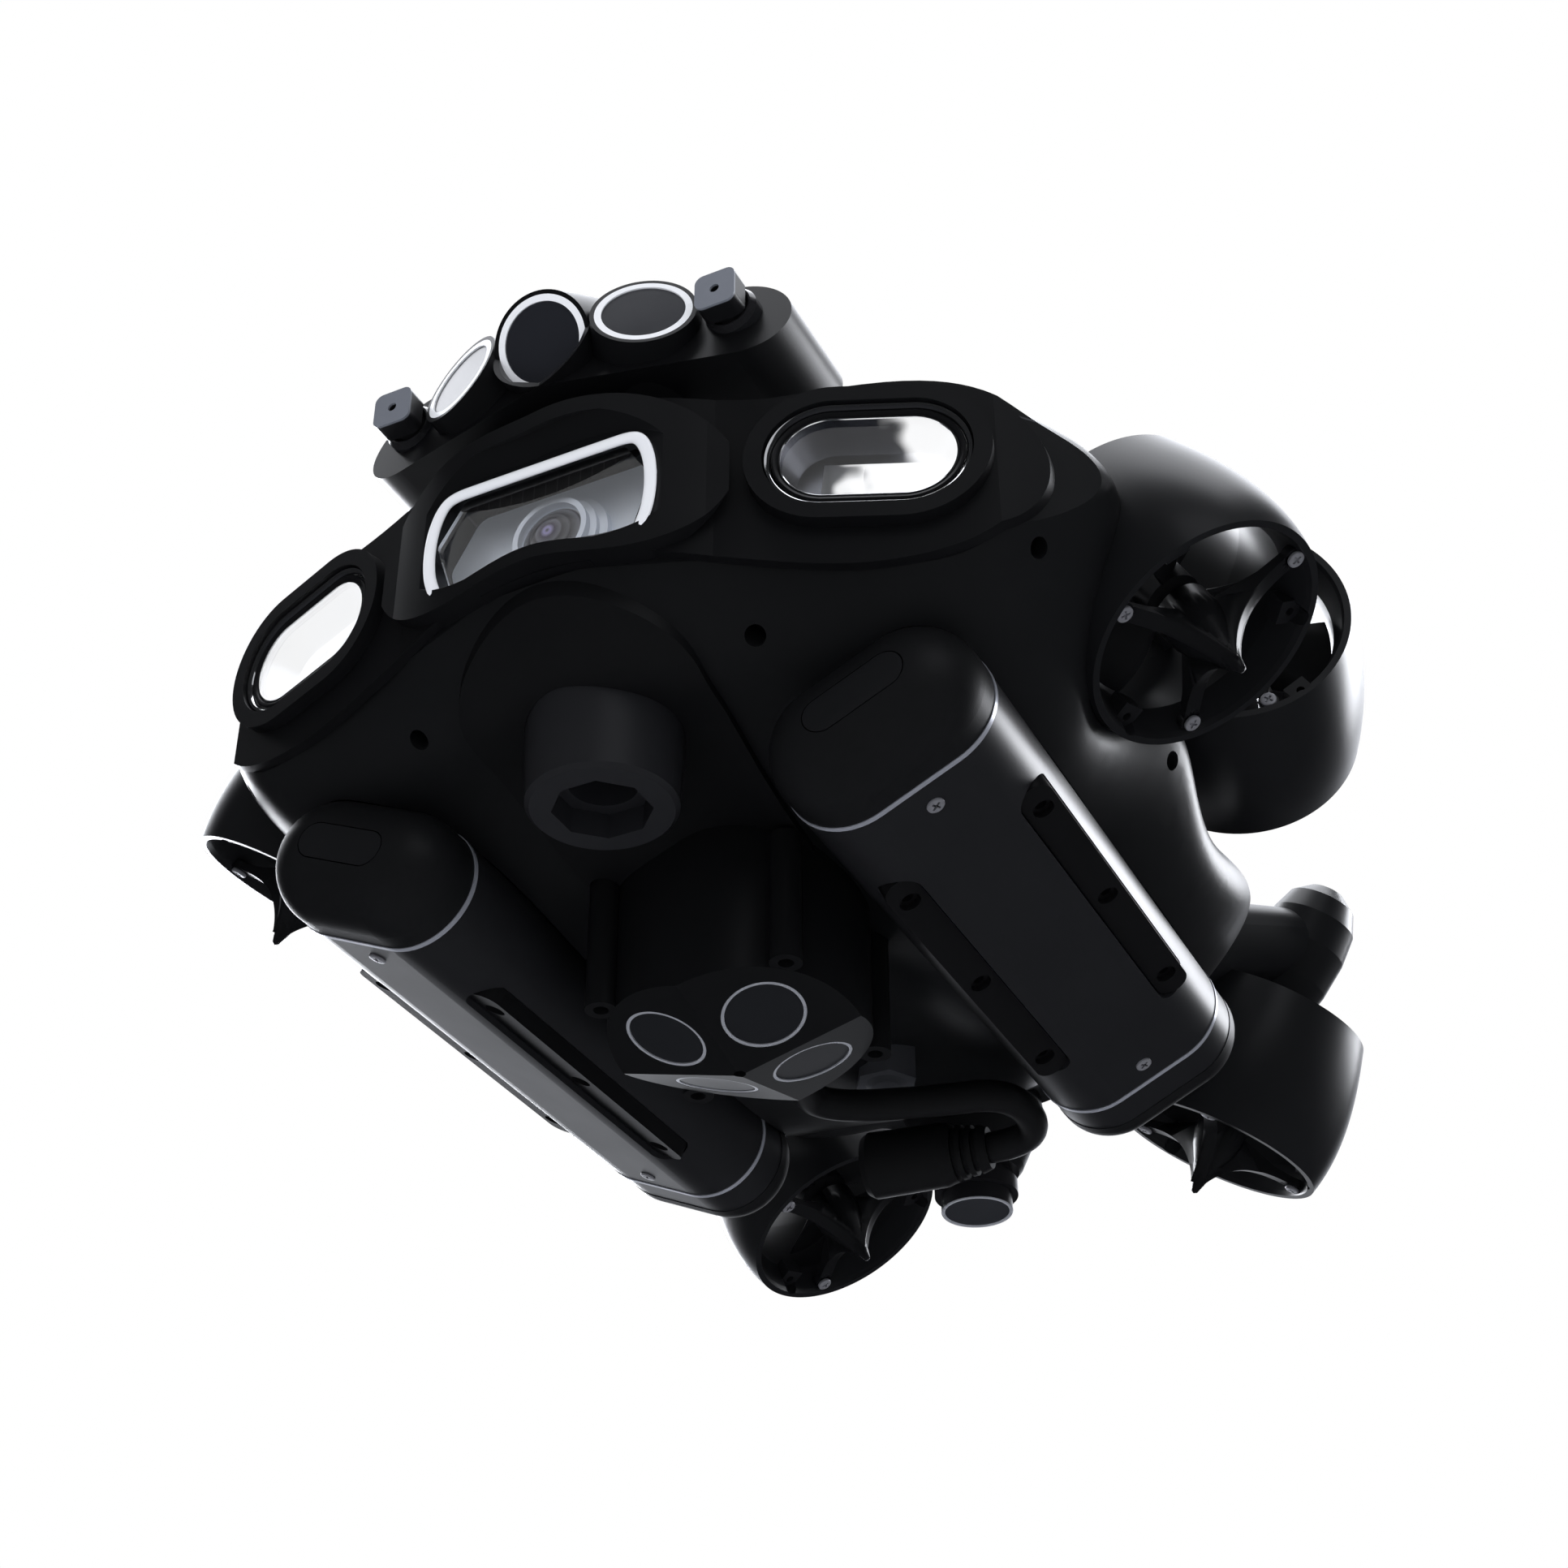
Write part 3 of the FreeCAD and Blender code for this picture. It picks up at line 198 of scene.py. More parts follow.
def finish_of(name, colour, worn, gloss, size=1400.0, depth=0.12, drift=0.08, amount=0.5,
              metal=0.0, specular=0.5):
    """A moulded, machined or painted finish with grain, drift of gloss and handling marks.

    Its clouds of colour run up to cloud_lift times the colour. Gives back
    the material, its tree, its shader and the node of its final colour.
    """
    made = bpy.data.materials.new(name)
    made.use_nodes = True
    tree = made.node_tree
    shader = tree.nodes["Principled BSDF"]
    shader.inputs["Metallic"].default_value = metal
    shader.inputs["Specular IOR Level"].default_value = specular
    surface = add(tree, "ShaderNodeGroup", node_tree=grain)
    surface.inputs["Size"].default_value = size
    surface.inputs["Depth"].default_value = depth
    surface.inputs["Gloss"].default_value = gloss
    surface.inputs["Drift"].default_value = drift
    rubbed = add(tree, "ShaderNodeGroup", node_tree=marks)
    rubbed.inputs["Amount"].default_value = amount
    paler = [min(1.0, c * cloud_lift) for c in colour]
    shade = add(tree, "ShaderNodeMix", data_type="RGBA", sockets={
        6: (*colour, 1), 7: (*paler, 1)})
    tree.links.new(surface.outputs["Shade"], shade.inputs[0])
    wear = add(tree, "ShaderNodeMix", data_type="RGBA", sockets={7: (*worn, 1)})
    tree.links.new(rubbed.outputs["Mask"], wear.inputs[0])
    tree.links.new(shade.outputs[2], wear.inputs[6])
    tree.links.new(wear.outputs[2], shader.inputs["Base Color"])
    tree.links.new(surface.outputs["Roughness"], shader.inputs["Roughness"])
    tree.links.new(surface.outputs["Normal"], shader.inputs["Normal"])
    return made, tree, shader, wear


def dress(material, *names):
    """Gives CAD nodes their finish."""
    for name in names:
        for held in nodes[name].material_slots:
            held.material = material


cable_jacket = finish_of(
    "cable_jacket", (0.0050, 0.0050, 0.0056), (0.012, 0.012, 0.013), 0.42,
    size=2600, depth=0.2)[0]
log_cable.data.materials.append(cable_jacket)
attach(log_cable, "rov")
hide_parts("dvl_cable")

# --- studio ----------------------------------------------------------------
# A plain pale floor lies well under the hanging vehicle. Soft light comes
# from behind and above, and a weak wide one fills the front.

floor_level = -0.62
floor_width = 7.0
bpy.ops.object.select_all(action="DESELECT")
bpy.ops.mesh.primitive_plane_add(size=floor_width, location=(0, 0.1, floor_level))
floor = bpy.context.object
floor.name = "floor"
floor_paint, floor_tree, floor_shader, _ = finish_of(
    "floor_paint", (0.62, 0.62, 0.63), (0.60, 0.60, 0.61), 0.85,
    size=300, depth=0.02, amount=0.0, specular=0.1)
# Mirrored in the vehicle, the floor is dark, so the belly stays black.
floor_paths = add(floor_tree, "ShaderNodeLightPath")
floor_matt = add(floor_tree, "ShaderNodeBsdfDiffuse", sockets={"Color": (0.012, 0.012, 0.013, 1)})
floor_mix = add(floor_tree, "ShaderNodeMixShader")
floor_tree.links.new(floor_paths.outputs["Is Glossy Ray"], floor_mix.inputs[0])
floor_tree.links.new(floor_shader.outputs[0], floor_mix.inputs[1])
floor_tree.links.new(floor_matt.outputs[0], floor_mix.inputs[2])
floor_tree.links.new(floor_mix.outputs[0], floor_tree.nodes["Material Output"].inputs["Surface"])
floor.data.materials.append(floor_paint)

# The camera sees plain white. The vehicle mirrors a bright patch of sky
# behind it, and the rest of its light is pale grey.
backdrop_way = Vector((-0.366, 0.738, 0.567))
world = bpy.data.worlds.new("studio")
bpy.context.scene.world = world
world.use_nodes = True
sky = world.node_tree
sky_paint = sky.nodes["Background"]
sky_way = add(sky, "ShaderNodeTexCoord")
facing = add(sky, "ShaderNodeVectorMath", operation="DOT_PRODUCT", sockets={1: backdrop_way})
sky.links.new(sky_way.outputs["Generated"], facing.inputs[0])
backdrop = add(sky, "ShaderNodeMapRange", interpolation_type="SMOOTHSTEP",
               sockets={"From Min": 0.68, "From Max": 1.0, "To Min": 0.012, "To Max": 2.1})
sky.links.new(facing.outputs["Value"], backdrop.inputs["Value"])
paths = add(sky, "ShaderNodeLightPath")
mirrored = add(sky, "ShaderNodeMix", data_type="RGBA", sockets={6: (0.80, 0.82, 0.86, 1)})
tint = add(sky, "ShaderNodeVectorMath", operation="SCALE", sockets={0: (0.90, 0.93, 1.0)})
sky.links.new(backdrop.outputs["Result"], tint.inputs["Scale"])
sky.links.new(tint.outputs["Vector"], mirrored.inputs[7])
sky.links.new(paths.outputs["Is Glossy Ray"], mirrored.inputs[0])
through = add(sky, "ShaderNodeMath", operation="MAXIMUM")
sky.links.new(paths.outputs["Is Camera Ray"], through.inputs[0])
sky.links.new(paths.outputs["Is Transmission Ray"], through.inputs[1])
seen = add(sky, "ShaderNodeMix", data_type="RGBA", sockets={7: (1, 1, 1, 1)})
sky.links.new(through.outputs[0], seen.inputs[0])
sky.links.new(mirrored.outputs[2], seen.inputs[6])
sky.links.new(seen.outputs[2], sky_paint.inputs["Color"])


def softbox(name, at, towards, width, height, power):
    """A cool rectangular area light at one point, aimed at another."""
    lamp = bpy.data.lights.new(name, "AREA")
    lamp.shape = "RECTANGLE"
    lamp.size, lamp.size_y = width, height
    lamp.energy = power
    lamp.color = (0.93, 0.95, 1.0)
    box = bpy.data.objects.new(name, lamp)
    bpy.context.scene.collection.objects.link(box)
    box.location = at
    box.rotation_mode = "QUATERNION"
    box.rotation_quaternion = (Vector(towards) - Vector(at)).to_track_quat("-Z", "Y")


softbox("back_left_light", (-0.75, 0.75, 0.55), (0, 0.1, 0.03), 0.6, 0.6, 14.0)
softbox("back_right_light", (0.65, 0.95, 0.55), (0.1, 0.1, 0.05), 0.5, 0.6, 10.0)
softbox("overhead_light", (0.0, 0.25, 1.20), (0.08, 0.06, 0.08), 1.3, 1.3, 12.0)
softbox("left_light", (-1.05, 0.50, 1.15), (-0.05, 0, 0.1), 0.7, 0.7, 5.0)
softbox("front_fill", (1.0, -1.0, 0.9), (0, 0, 0.05), 1.0, 0.8, 1.2)

# --- hull shells -----------------------------------------------------------
# Two moulded shells of black polycarbonate blend, screwed together along a
# parting line that runs back from the shoulder. Satin, with a fine stipple.

hull_colour = (0.0056, 0.0058, 0.0064)
hull_worn = (0.009, 0.009, 0.010)
parting_y = (0.008, 0.060)
parting_z = (0.080, 0.066)
seam_core, seam_highlight_fade = 0.00015, 0.00040
hull_satin, hull_tree, hull_shader, hull_wear = finish_of(
    "hull_satin", hull_colour, hull_worn, 0.36,
    size=2200, depth=0.10, specular=0.42)
hull_place = add(hull_tree, "ShaderNodeTexCoord")
hull_axes = add(hull_tree, "ShaderNodeSeparateXYZ")
hull_tree.links.new(hull_place.outputs["Object"], hull_axes.inputs[0])
parting = add(hull_tree, "ShaderNodeMapRange", sockets={
    "From Min": parting_y[0], "From Max": parting_y[1], "To Min": parting_z[0], "To Max": parting_z[1]})
hull_tree.links.new(hull_axes.outputs["Y"], parting.inputs["Value"])
off_line = add(hull_tree, "ShaderNodeMath", operation="SUBTRACT")
hull_tree.links.new(hull_axes.outputs["Z"], off_line.inputs[0])
hull_tree.links.new(parting.outputs["Result"], off_line.inputs[1])
distance = add(hull_tree, "ShaderNodeMath", operation="ABSOLUTE")
hull_tree.links.new(off_line.outputs[0], distance.inputs[0])
# Painted highlight: a thin pale line along the parting line stands for light on the seam's lip, fading
# out within 0.4 mm.
seam_highlight_mask = add(hull_tree, "ShaderNodeMapRange", sockets={
    "From Min": seam_core, "From Max": seam_highlight_fade, "To Min": 1.0, "To Max": 0.0})
hull_tree.links.new(distance.outputs[0], seam_highlight_mask.inputs["Value"])
seam_painted_highlight = add(hull_tree, "ShaderNodeMix", data_type="RGBA", sockets={7: (0.05, 0.05, 0.055, 1)})
hull_tree.links.new(seam_highlight_mask.outputs["Result"], seam_painted_highlight.inputs[0])
hull_tree.links.new(hull_wear.outputs[2], seam_painted_highlight.inputs[6])
hull_tree.links.new(seam_painted_highlight.outputs[2], hull_shader.inputs["Base Color"])
dress(hull_satin, "upper_shell", "lower_shell")

# --- belly panel and payload boss ------------------------------------------
# A tongue-shaped panel covers the belly; the boss on it takes tools in an
# octagonal socket. Both are matte black and slightly rubbed.

belly_matte = finish_of(
    "belly_matte", (0.0044, 0.0045, 0.0052), (0.009, 0.009, 0.010), 0.47,
    size=2600, depth=0.14, specular=0.38)[0]
dress(belly_matte, "belly_panel")
boss_matte = finish_of(
    "boss_matte", (0.0110, 0.0112, 0.0130), (0.016, 0.016, 0.018), 0.44,
    size=2600, depth=0.12, specular=0.5)[0]
dress(boss_matte, "payload_boss")

# --- front fascia ----------------------------------------------------------
# One moulded mask carries both headlights and the camera's dish. It is a
# shade darker and finer in grain than the hull behind it. A thin strip
# closes its lip under the window.

fascia_satin = finish_of(
    "fascia_satin", (0.0042, 0.0043, 0.0050), (0.009, 0.009, 0.010), 0.38,
    size=3000, depth=0.06, specular=0.40)[0]
dress(fascia_satin, "front_fascia")

lip_half_width = 0.0155
lip_y = (-0.0358, -0.0322)
lip_z = 0.0471
lip_sag = 8.0
strip_thickness = 0.0012
bpy.ops.object.select_all(action="DESELECT")
bpy.ops.mesh.primitive_grid_add(x_subdivisions=20, y_subdivisions=2, size=2.0, location=(0, 0, 0))
chin_strip = bpy.context.object
chin_strip.name = "chin_strip"
for vertex in chin_strip.data.vertices:
    x = vertex.co.x * lip_half_width
    y = lip_y[0] if vertex.co.y < 0 else lip_y[1]
    vertex.co = (x, y, lip_z - lip_sag * x * x)
strip_depth = chin_strip.modifiers.new("depth", "SOLIDIFY")
strip_depth.thickness = strip_thickness
strip_depth.offset = -1.0
bpy.ops.object.modifier_apply(modifier="depth")
bpy.ops.object.mode_set(mode="EDIT")
bpy.ops.mesh.select_all(action="SELECT")
bpy.ops.transform.translate(value=(0, 0, strip_thickness))
bpy.ops.mesh.normals_make_consistent(inside=False)
bpy.ops.object.mode_set(mode="OBJECT")
bpy.ops.object.shade_smooth_by_angle(angle=math.radians(40))
chin_strip.data.materials.append(fascia_satin)
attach(chin_strip, "rov")

# --- headlights ------------------------------------------------------------
# Polished stadium rims hold flat glasses. Behind each, two emitters shine
# into a mirror-bright tray.

rim_chrome = finish_of(
    "rim_chrome", (0.80, 0.81, 0.83), (0.6, 0.6, 0.62), 0.10,
    depth=0.0, drift=0.04, amount=0.2, metal=1.0)[0]
pod_at = (0.081, -0.0203, 0.0664)
pod_toe = math.radians(17)
pod_roll = math.radians(-6)
pod_out = Vector((math.sin(pod_toe), -math.cos(pod_toe), 0))
pod_level = Vector((math.cos(pod_toe), math.sin(pod_toe), 0))
pod_along = pod_level * math.cos(pod_roll) + Vector((0, 0, math.sin(pod_roll)))
pod_up = pod_out.cross(pod_along)
pod_frame = Matrix.Translation(pod_at) @ Matrix((pod_along, pod_up, pod_out)).transposed().to_4x4()
lamp_run = 0.0095
lamp_corners = 96
weld_gap = 1e-6


def close_skin():
    """Welds the open piece's doubled points and turns its faces outward."""
    bpy.ops.object.mode_set(mode="EDIT")
    bpy.ops.mesh.select_all(action="SELECT")
    bpy.ops.mesh.remove_doubles(threshold=weld_gap)
    bpy.ops.mesh.normals_make_consistent(inside=False)
    bpy.ops.object.mode_set(mode="OBJECT")


def lofted_ring(profile, corners):
    """A round ring about Z, its profile of radii and heights in millimetres closed on itself."""
    bpy.ops.object.select_all(action="DESELECT")
    bpy.ops.mesh.primitive_circle_add(vertices=corners, radius=profile[0][0] / 1000, location=(0, 0, 0))
    ring = bpy.context.object
    bpy.ops.object.mode_set(mode="EDIT")
    bpy.ops.mesh.select_all(action="SELECT")
    bpy.ops.transform.translate(value=(0, 0, profile[0][1] / 1000))
    for (r0, h0), (r1, h1) in zip(profile, profile[1:] + profile[:1]):
        bpy.ops.mesh.extrude_region_move(TRANSFORM_OT_translate={"value": (0, 0, (h1 - h0) / 1000)})
        bpy.ops.transform.resize(value=(r1 / r0, r1 / r0, 1), center_override=(0, 0, 0))
    bpy.ops.object.mode_set(mode="OBJECT")
    close_skin()
    return ring


def mirrored_copy(piece):
    """The port twin of a starboard piece, with its faces turned the right way."""
    twin = piece.copy()
    twin.data = piece.data.copy()
    bpy.context.scene.collection.objects.link(twin)
    twin.data.transform(Matrix.Scale(-1, 4, (1, 0, 0)))
    twin.data.flip_normals()
    return twin


def stadium_rings(name, profile, material):
    """One ring round each headlight, stretched along the lamp."""
    ring = lofted_ring(profile, lamp_corners)
    for vertex in ring.data.vertices:
        if abs(vertex.co.x) > weld_gap:
            vertex.co.x += math.copysign(lamp_run, vertex.co.x)
    ring.data.transform(pod_frame)
    mirrored_copy(ring).select_set(True)
    ring.select_set(True)
    bpy.context.view_layer.objects.active = ring
    bpy.ops.object.join()
    bpy.ops.object.shade_smooth_by_angle(angle=math.radians(50))
    ring.name = name
    ring.data.name = name
    ring.data.materials.append(material)
    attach(ring, "rov")
    return ring


bezel_profile = [
    (15.9, -5.4), (15.9, -1.6), (15.5, -1.1), (14.9, -1.2), (14.3, -2.0), (14.02, -3.0), (14.02, -5.4),
]
gasket_profile = [
    (14.0, -2.48), (13.95, -1.9), (13.5, -1.6), (12.9, -1.8), (12.5, -2.2), (12.4, -2.48),
]
bead_profile = [(12.4, -2.48), (12.35, -2.15), (12.1, -2.0), (11.85, -2.15), (11.8, -2.48)]
lamp_bezels = stadium_rings("lamp_bezels", bezel_profile, rim_chrome)
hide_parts("light_rims")
gasket_black = finish_of(
    "gasket_black", (0.004, 0.004, 0.005), (0.01, 0.01, 0.01), 0.42,
    depth=0.05)[0]
stadium_rings("lamp_gaskets", gasket_profile, gasket_black)
stadium_rings("lamp_beads", bead_profile, rim_chrome)


pane_index = 1.45


def clear_pane(name, tint_colour, gloss):
    """Clear glass or acrylic; the tint and the gloss drift very slightly."""
    made, _, shader, _ = finish_of(
        name, tint_colour, tint_colour, gloss,
        depth=0.0, drift=0.01, amount=0.0)
    shader.inputs["Transmission Weight"].default_value = 1.0
    shader.inputs["IOR"].default_value = pane_index
    return made


lamp_glass = clear_pane("lamp_glass", (0.95, 0.96, 0.97), 0.02)
dress(lamp_glass, "light_glasses")

# Painted light: the lamps' glow and the bright reflections in their trays are painted
#  as emission, over all of the port lamp, and over the starboard one but for its inner end, behind a
#  soft wavy edge.
lamp_glow_from, lamp_glow_to = 0.079, 0.085
edge_wave = 0.016
painted_glow, spill_in, spill_out = node_group(
    "painted_lamp_glow", [("Reach", "NodeSocketFloat", 0.0)], [("Lit", "NodeSocketFloat")])
spill_place = add(painted_glow, "ShaderNodeTexCoord")
spill_axes = add(painted_glow, "ShaderNodeSeparateXYZ")
spill_noise = add(painted_glow, "ShaderNodeTexNoise", sockets={"Scale": 110.0, "Detail": 1.0})
painted_glow.links.new(spill_place.outputs["Object"], spill_axes.inputs[0])
painted_glow.links.new(spill_place.outputs["Object"], spill_noise.inputs["Vector"])
wave = add(painted_glow, "ShaderNodeMath", operation="MULTIPLY_ADD", sockets={
    1: edge_wave, 2: -edge_wave / 2})
painted_glow.links.new(spill_noise.outputs["Fac"], wave.inputs[0])
waved = add(painted_glow, "ShaderNodeMath", operation="ADD")
painted_glow.links.new(spill_axes.outputs["X"], waved.inputs[0])
painted_glow.links.new(wave.outputs[0], waved.inputs[1])
reached = add(painted_glow, "ShaderNodeMath", operation="ADD")
painted_glow.links.new(waved.outputs[0], reached.inputs[0])
painted_glow.links.new(spill_in.outputs["Reach"], reached.inputs[1])
spill_edge = add(painted_glow, "ShaderNodeMapRange", interpolation_type="SMOOTHSTEP", sockets={
    "From Min": lamp_glow_from, "From Max": lamp_glow_to})
painted_glow.links.new(reached.outputs[0], spill_edge.inputs["Value"])
port_side = add(painted_glow, "ShaderNodeMath", operation="LESS_THAN", sockets={1: 0.0})
painted_glow.links.new(spill_axes.outputs["X"], port_side.inputs[0])
lit = add(painted_glow, "ShaderNodeMath", operation="MAXIMUM")
painted_glow.links.new(spill_edge.outputs["Result"], lit.inputs[0])
painted_glow.links.new(port_side.outputs[0], lit.inputs[1])
painted_glow.links.new(lit.outputs[0], spill_out.inputs["Lit"])


def paint_lamp_glow(tree, shader, reach):
    """Paints a lamp's inner surface with glow as emission, painted light that also stands for the
    tray's reflections; reach moves the edge inboard, in metres.
    """
    source = add(tree, "ShaderNodeGroup", node_tree=painted_glow)
    source.inputs["Reach"].default_value = reach
    glow = add(tree, "ShaderNodeMix", data_type="RGBA", sockets={
        6: (0, 0, 0, 1), 7: (1, 1, 1, 1)})
    tree.links.new(source.outputs["Lit"], glow.inputs[0])
    tree.links.new(glow.outputs[2], shader.inputs["Emission Color"])
    shader.inputs["Emission Strength"].default_value = 1.0


tray_mirror, tray_tree, tray_shader, _ = finish_of(
    "tray_mirror", (0.16, 0.165, 0.19), (0.3, 0.3, 0.32), 0.26,
    depth=0.0, drift=0.05, amount=0.3, metal=1.0)
# The tray's glow is painted light and painted reflection.
paint_lamp_glow(tray_tree, tray_shader, -0.003)
dress(tray_mirror, "light_reflectors")

emitter_resin, emitter_tree, emitter_shader, _ = finish_of(
    "emitter_resin", (0.16, 0.165, 0.18), (0.2, 0.2, 0.2), 0.35,
    size=900, depth=0.05)
# The emitters carry the same painted glow.
paint_lamp_glow(emitter_tree, emitter_shader, 0.010)
dress(emitter_resin, "light_boards")

# --- camera ----------------------------------------------------------------
# A bow-shaped acrylic window in a bright frame. Behind it a black sheet of painted shade darkens the
#  window's top, then come a grey back plate and a stepped barrel round the coated lens.

frame_white = finish_of(
    "frame_white", (0.86, 0.87, 0.90), (0.7, 0.7, 0.72), 0.22,
    depth=0.02, amount=0.1)[0]
frame_port_line = [
    (-28.2, 49.5), (-30.2, 54.0), (-31.2, 60.0), (-31.3, 66.0), (-30.6, 72.0), (-28.6, 77.8),
    (-25.6, 80.3), (-18.0, 80.4),
]
frame_line = frame_port_line + [(0.0, 80.4)] + [(-x, z) for x, z in reversed(frame_port_line)]
frame_y = -0.0362
frame_bead = 0.0017
frame_flatness = 0.5
bpy.ops.object.select_all(action="DESELECT")
bpy.ops.curve.primitive_nurbs_path_add(location=(0, 0, 0))
window_bezel = bpy.context.object
window_bezel.name = "window_bezel"
bezel_line = window_bezel.data.splines[0]
bezel_line.points.add(len(frame_line) - len(bezel_line.points))
for point, (x, z) in zip(bezel_line.points, frame_line):
    point.co = (x / 1000, z / 1000, 0, 1)
bezel_line.order_u = 3
bezel_line.use_endpoint_u = True
bezel_line.resolution_u = 8
window_bezel.data.dimensions = "3D"
window_bezel.data.bevel_depth = frame_bead
window_bezel.data.bevel_resolution = 5
window_bezel.data.use_fill_caps = True
bpy.ops.object.convert(target="MESH")
window_bezel.data.transform(
    Matrix.Translation((0, frame_y, 0)) @ Matrix.Scale(frame_flatness, 4, (0, 1, 0))
    @ Matrix.Rotation(math.pi / 2, 4, "X"))
close_skin()
bpy.ops.object.shade_smooth_by_angle(angle=math.radians(50))
window_bezel.data.materials.clear()
window_bezel.data.materials.append(frame_white)
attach(window_bezel, "rov")
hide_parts("camera_frame")
window_acrylic = clear_pane("window_acrylic", (0.96, 0.97, 0.99), 0.02)
dress(window_acrylic, "camera_window")
plate_grey, _, plate_shader, _ = finish_of(
    "plate_grey", (0.66, 0.70, 0.82), (0.3, 0.3, 0.33), 0.42,
    size=1800, depth=0.08, metal=0.4)
# A weak glow stands for the stray light behind the window.
plate_shader.inputs["Emission Color"].default_value = (0.80, 0.88, 1.0, 1)
plate_shader.inputs["Emission Strength"].default_value = 0.06
dress(plate_grey, "camera_module")

lens_height = 0.0635
lens_rim = 0.009
# Painted reflection: the lens's colour runs in rings out from its centre, a violet painted reflection
# in the middle and pale rings painted as highlights between dark ones.
lens_rings_and_painted_glints = [
    (0.10, (0.55, 0.50, 0.85)), (0.22, (0.03, 0.02, 0.06)), (0.38, (0.20, 0.20, 0.24)),
    (0.44, (0.02, 0.02, 0.03)), (0.60, (0.16, 0.16, 0.18)), (0.66, (0.03, 0.03, 0.04)),
    (0.86, (0.25, 0.25, 0.28)), (0.92, (0.05, 0.05, 0.06)),
]
lens_glass, lens_tree, lens_shader, _ = finish_of(
    "lens_glass", (0.02, 0.018, 0.03), (0.02, 0.02, 0.03), 0.16,
    depth=0.0, drift=0.02, amount=0.0, specular=0.3)
lens_place = add(lens_tree, "ShaderNodeTexCoord")
lens_from = add(lens_tree, "ShaderNodeMapping", sockets={
    "Location": (0, 0, -lens_height), "Scale": (1, 0, 1)})
lens_tree.links.new(lens_place.outputs["Object"], lens_from.inputs["Vector"])
lens_radius = add(lens_tree, "ShaderNodeVectorMath", operation="LENGTH")
lens_tree.links.new(lens_from.outputs["Vector"], lens_radius.inputs[0])
lens_rings = add(lens_tree, "ShaderNodeValToRGB")
ramp = lens_rings.color_ramp
ramp.interpolation = "LINEAR"
for share, colour in lens_rings_and_painted_glints:
    stop = ramp.elements.new(share)
    stop.color = (*colour, 1)
lens_share = add(lens_tree, "ShaderNodeMath", operation="DIVIDE", sockets={1: lens_rim})
lens_tree.links.new(lens_radius.outputs["Value"], lens_share.inputs[0])
lens_tree.links.new(lens_share.outputs[0], lens_rings.inputs["Fac"])
lens_tree.links.new(lens_rings.outputs["Color"], lens_shader.inputs["Base Color"])
dress(lens_glass, "camera_lens")

# Painted shade: a thin black sheet with fine tick lines, bowed down in the middle, stands for the shade
# under the window's top edge.
shade_top = 0.0795
shade_y = -0.0322
shade_half_top, shade_half_flare = 0.0246, 0.0020
shade_drop, shade_bow = 0.0014, 0.0048
shade_thickness = 0.0006
bpy.ops.object.select_all(action="DESELECT")
bpy.ops.mesh.primitive_grid_add(x_subdivisions=25, y_subdivisions=3, size=1.0, location=(0, 0, 0))
painted_shade_piece = bpy.context.object
painted_shade_piece.name = "window_painted_shade"
bpy.ops.object.mode_set(mode="EDIT")
bpy.ops.mesh.select_all(action="SELECT")
bpy.ops.transform.rotate(value=-math.pi / 2, orient_axis="X", center_override=(0, 0, 0))
bpy.ops.object.mode_set(mode="OBJECT")
for vertex in painted_shade_piece.data.vertices:
    across, down = vertex.co.x, 0.5 - vertex.co.z
    half = shade_half_top + shade_half_flare * down
    bow = shade_bow * (1 - (2 * across) ** 2)
    vertex.co = (2 * across * half, shade_y, shade_top - down * (shade_drop + bow))
solid = painted_shade_piece.modifiers.new("thickness", "SOLIDIFY")
solid.thickness = shade_thickness
solid.offset = 0.0
bpy.ops.object.modifier_apply(modifier="thickness")
painted_shade_black, shade_tree, shade_shader, shade_wear = finish_of(
    "painted_shade_black", (0.003, 0.003, 0.004), (0.008, 0.008, 0.008), 0.5,
    depth=0.1, specular=0.2)
shade_place = add(shade_tree, "ShaderNodeTexCoord")
ticks = add(shade_tree, "ShaderNodeTexWave", bands_direction="X", wave_profile="SAW",
            sockets={"Scale": 95.0, "Distortion": 0.0})
shade_tree.links.new(shade_place.outputs["Object"], ticks.inputs["Vector"])
tick_lines = add(shade_tree, "ShaderNodeMapRange", sockets={"From Min": 0.90, "From Max": 0.94})
shade_tree.links.new(ticks.outputs["Fac"], tick_lines.inputs["Value"])
tick_ink = add(shade_tree, "ShaderNodeMix", data_type="RGBA", sockets={7: (0.02, 0.02, 0.022, 1)})
shade_tree.links.new(tick_lines.outputs["Result"], tick_ink.inputs[0])
shade_tree.links.new(shade_wear.outputs[2], tick_ink.inputs[6])
shade_tree.links.new(tick_ink.outputs[2], shade_shader.inputs["Base Color"])
painted_shade_piece.data.materials.append(painted_shade_black)
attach(painted_shade_piece, "rov")

# --- sonar bar -------------------------------------------------------------
# A swept bar of black urethane with three transducer faces, each in a
# bright ring. It stands on an oval foot over the fascia.

sonar_satin = finish_of(
    "sonar_satin", (0.0040, 0.0041, 0.0048), (0.010, 0.010, 0.011), 0.38,
    size=2400, depth=0.1, specular=0.45)[0]
dress(sonar_satin, "sonar_housing", "sonar_foot")
ring_white = finish_of(
    "ring_white", (0.93, 0.94, 0.96), (0.6, 0.6, 0.62), 0.28,
    depth=0.02, amount=0.2)[0]
dress(ring_white, "sonar_rings")
disc_grey = finish_of(
    "disc_grey", (0.015, 0.016, 0.020), (0.02, 0.02, 0.022), 0.20,
    size=3200, depth=0.03, specular=0.8)[0]
dress(disc_grey, "sonar_discs")

# --- scaling lasers --------------------------------------------------------
# Two small bead-blasted heads on glossy black balls. Each ball turns in a
# cup that is sunk in the sonar bar's face.

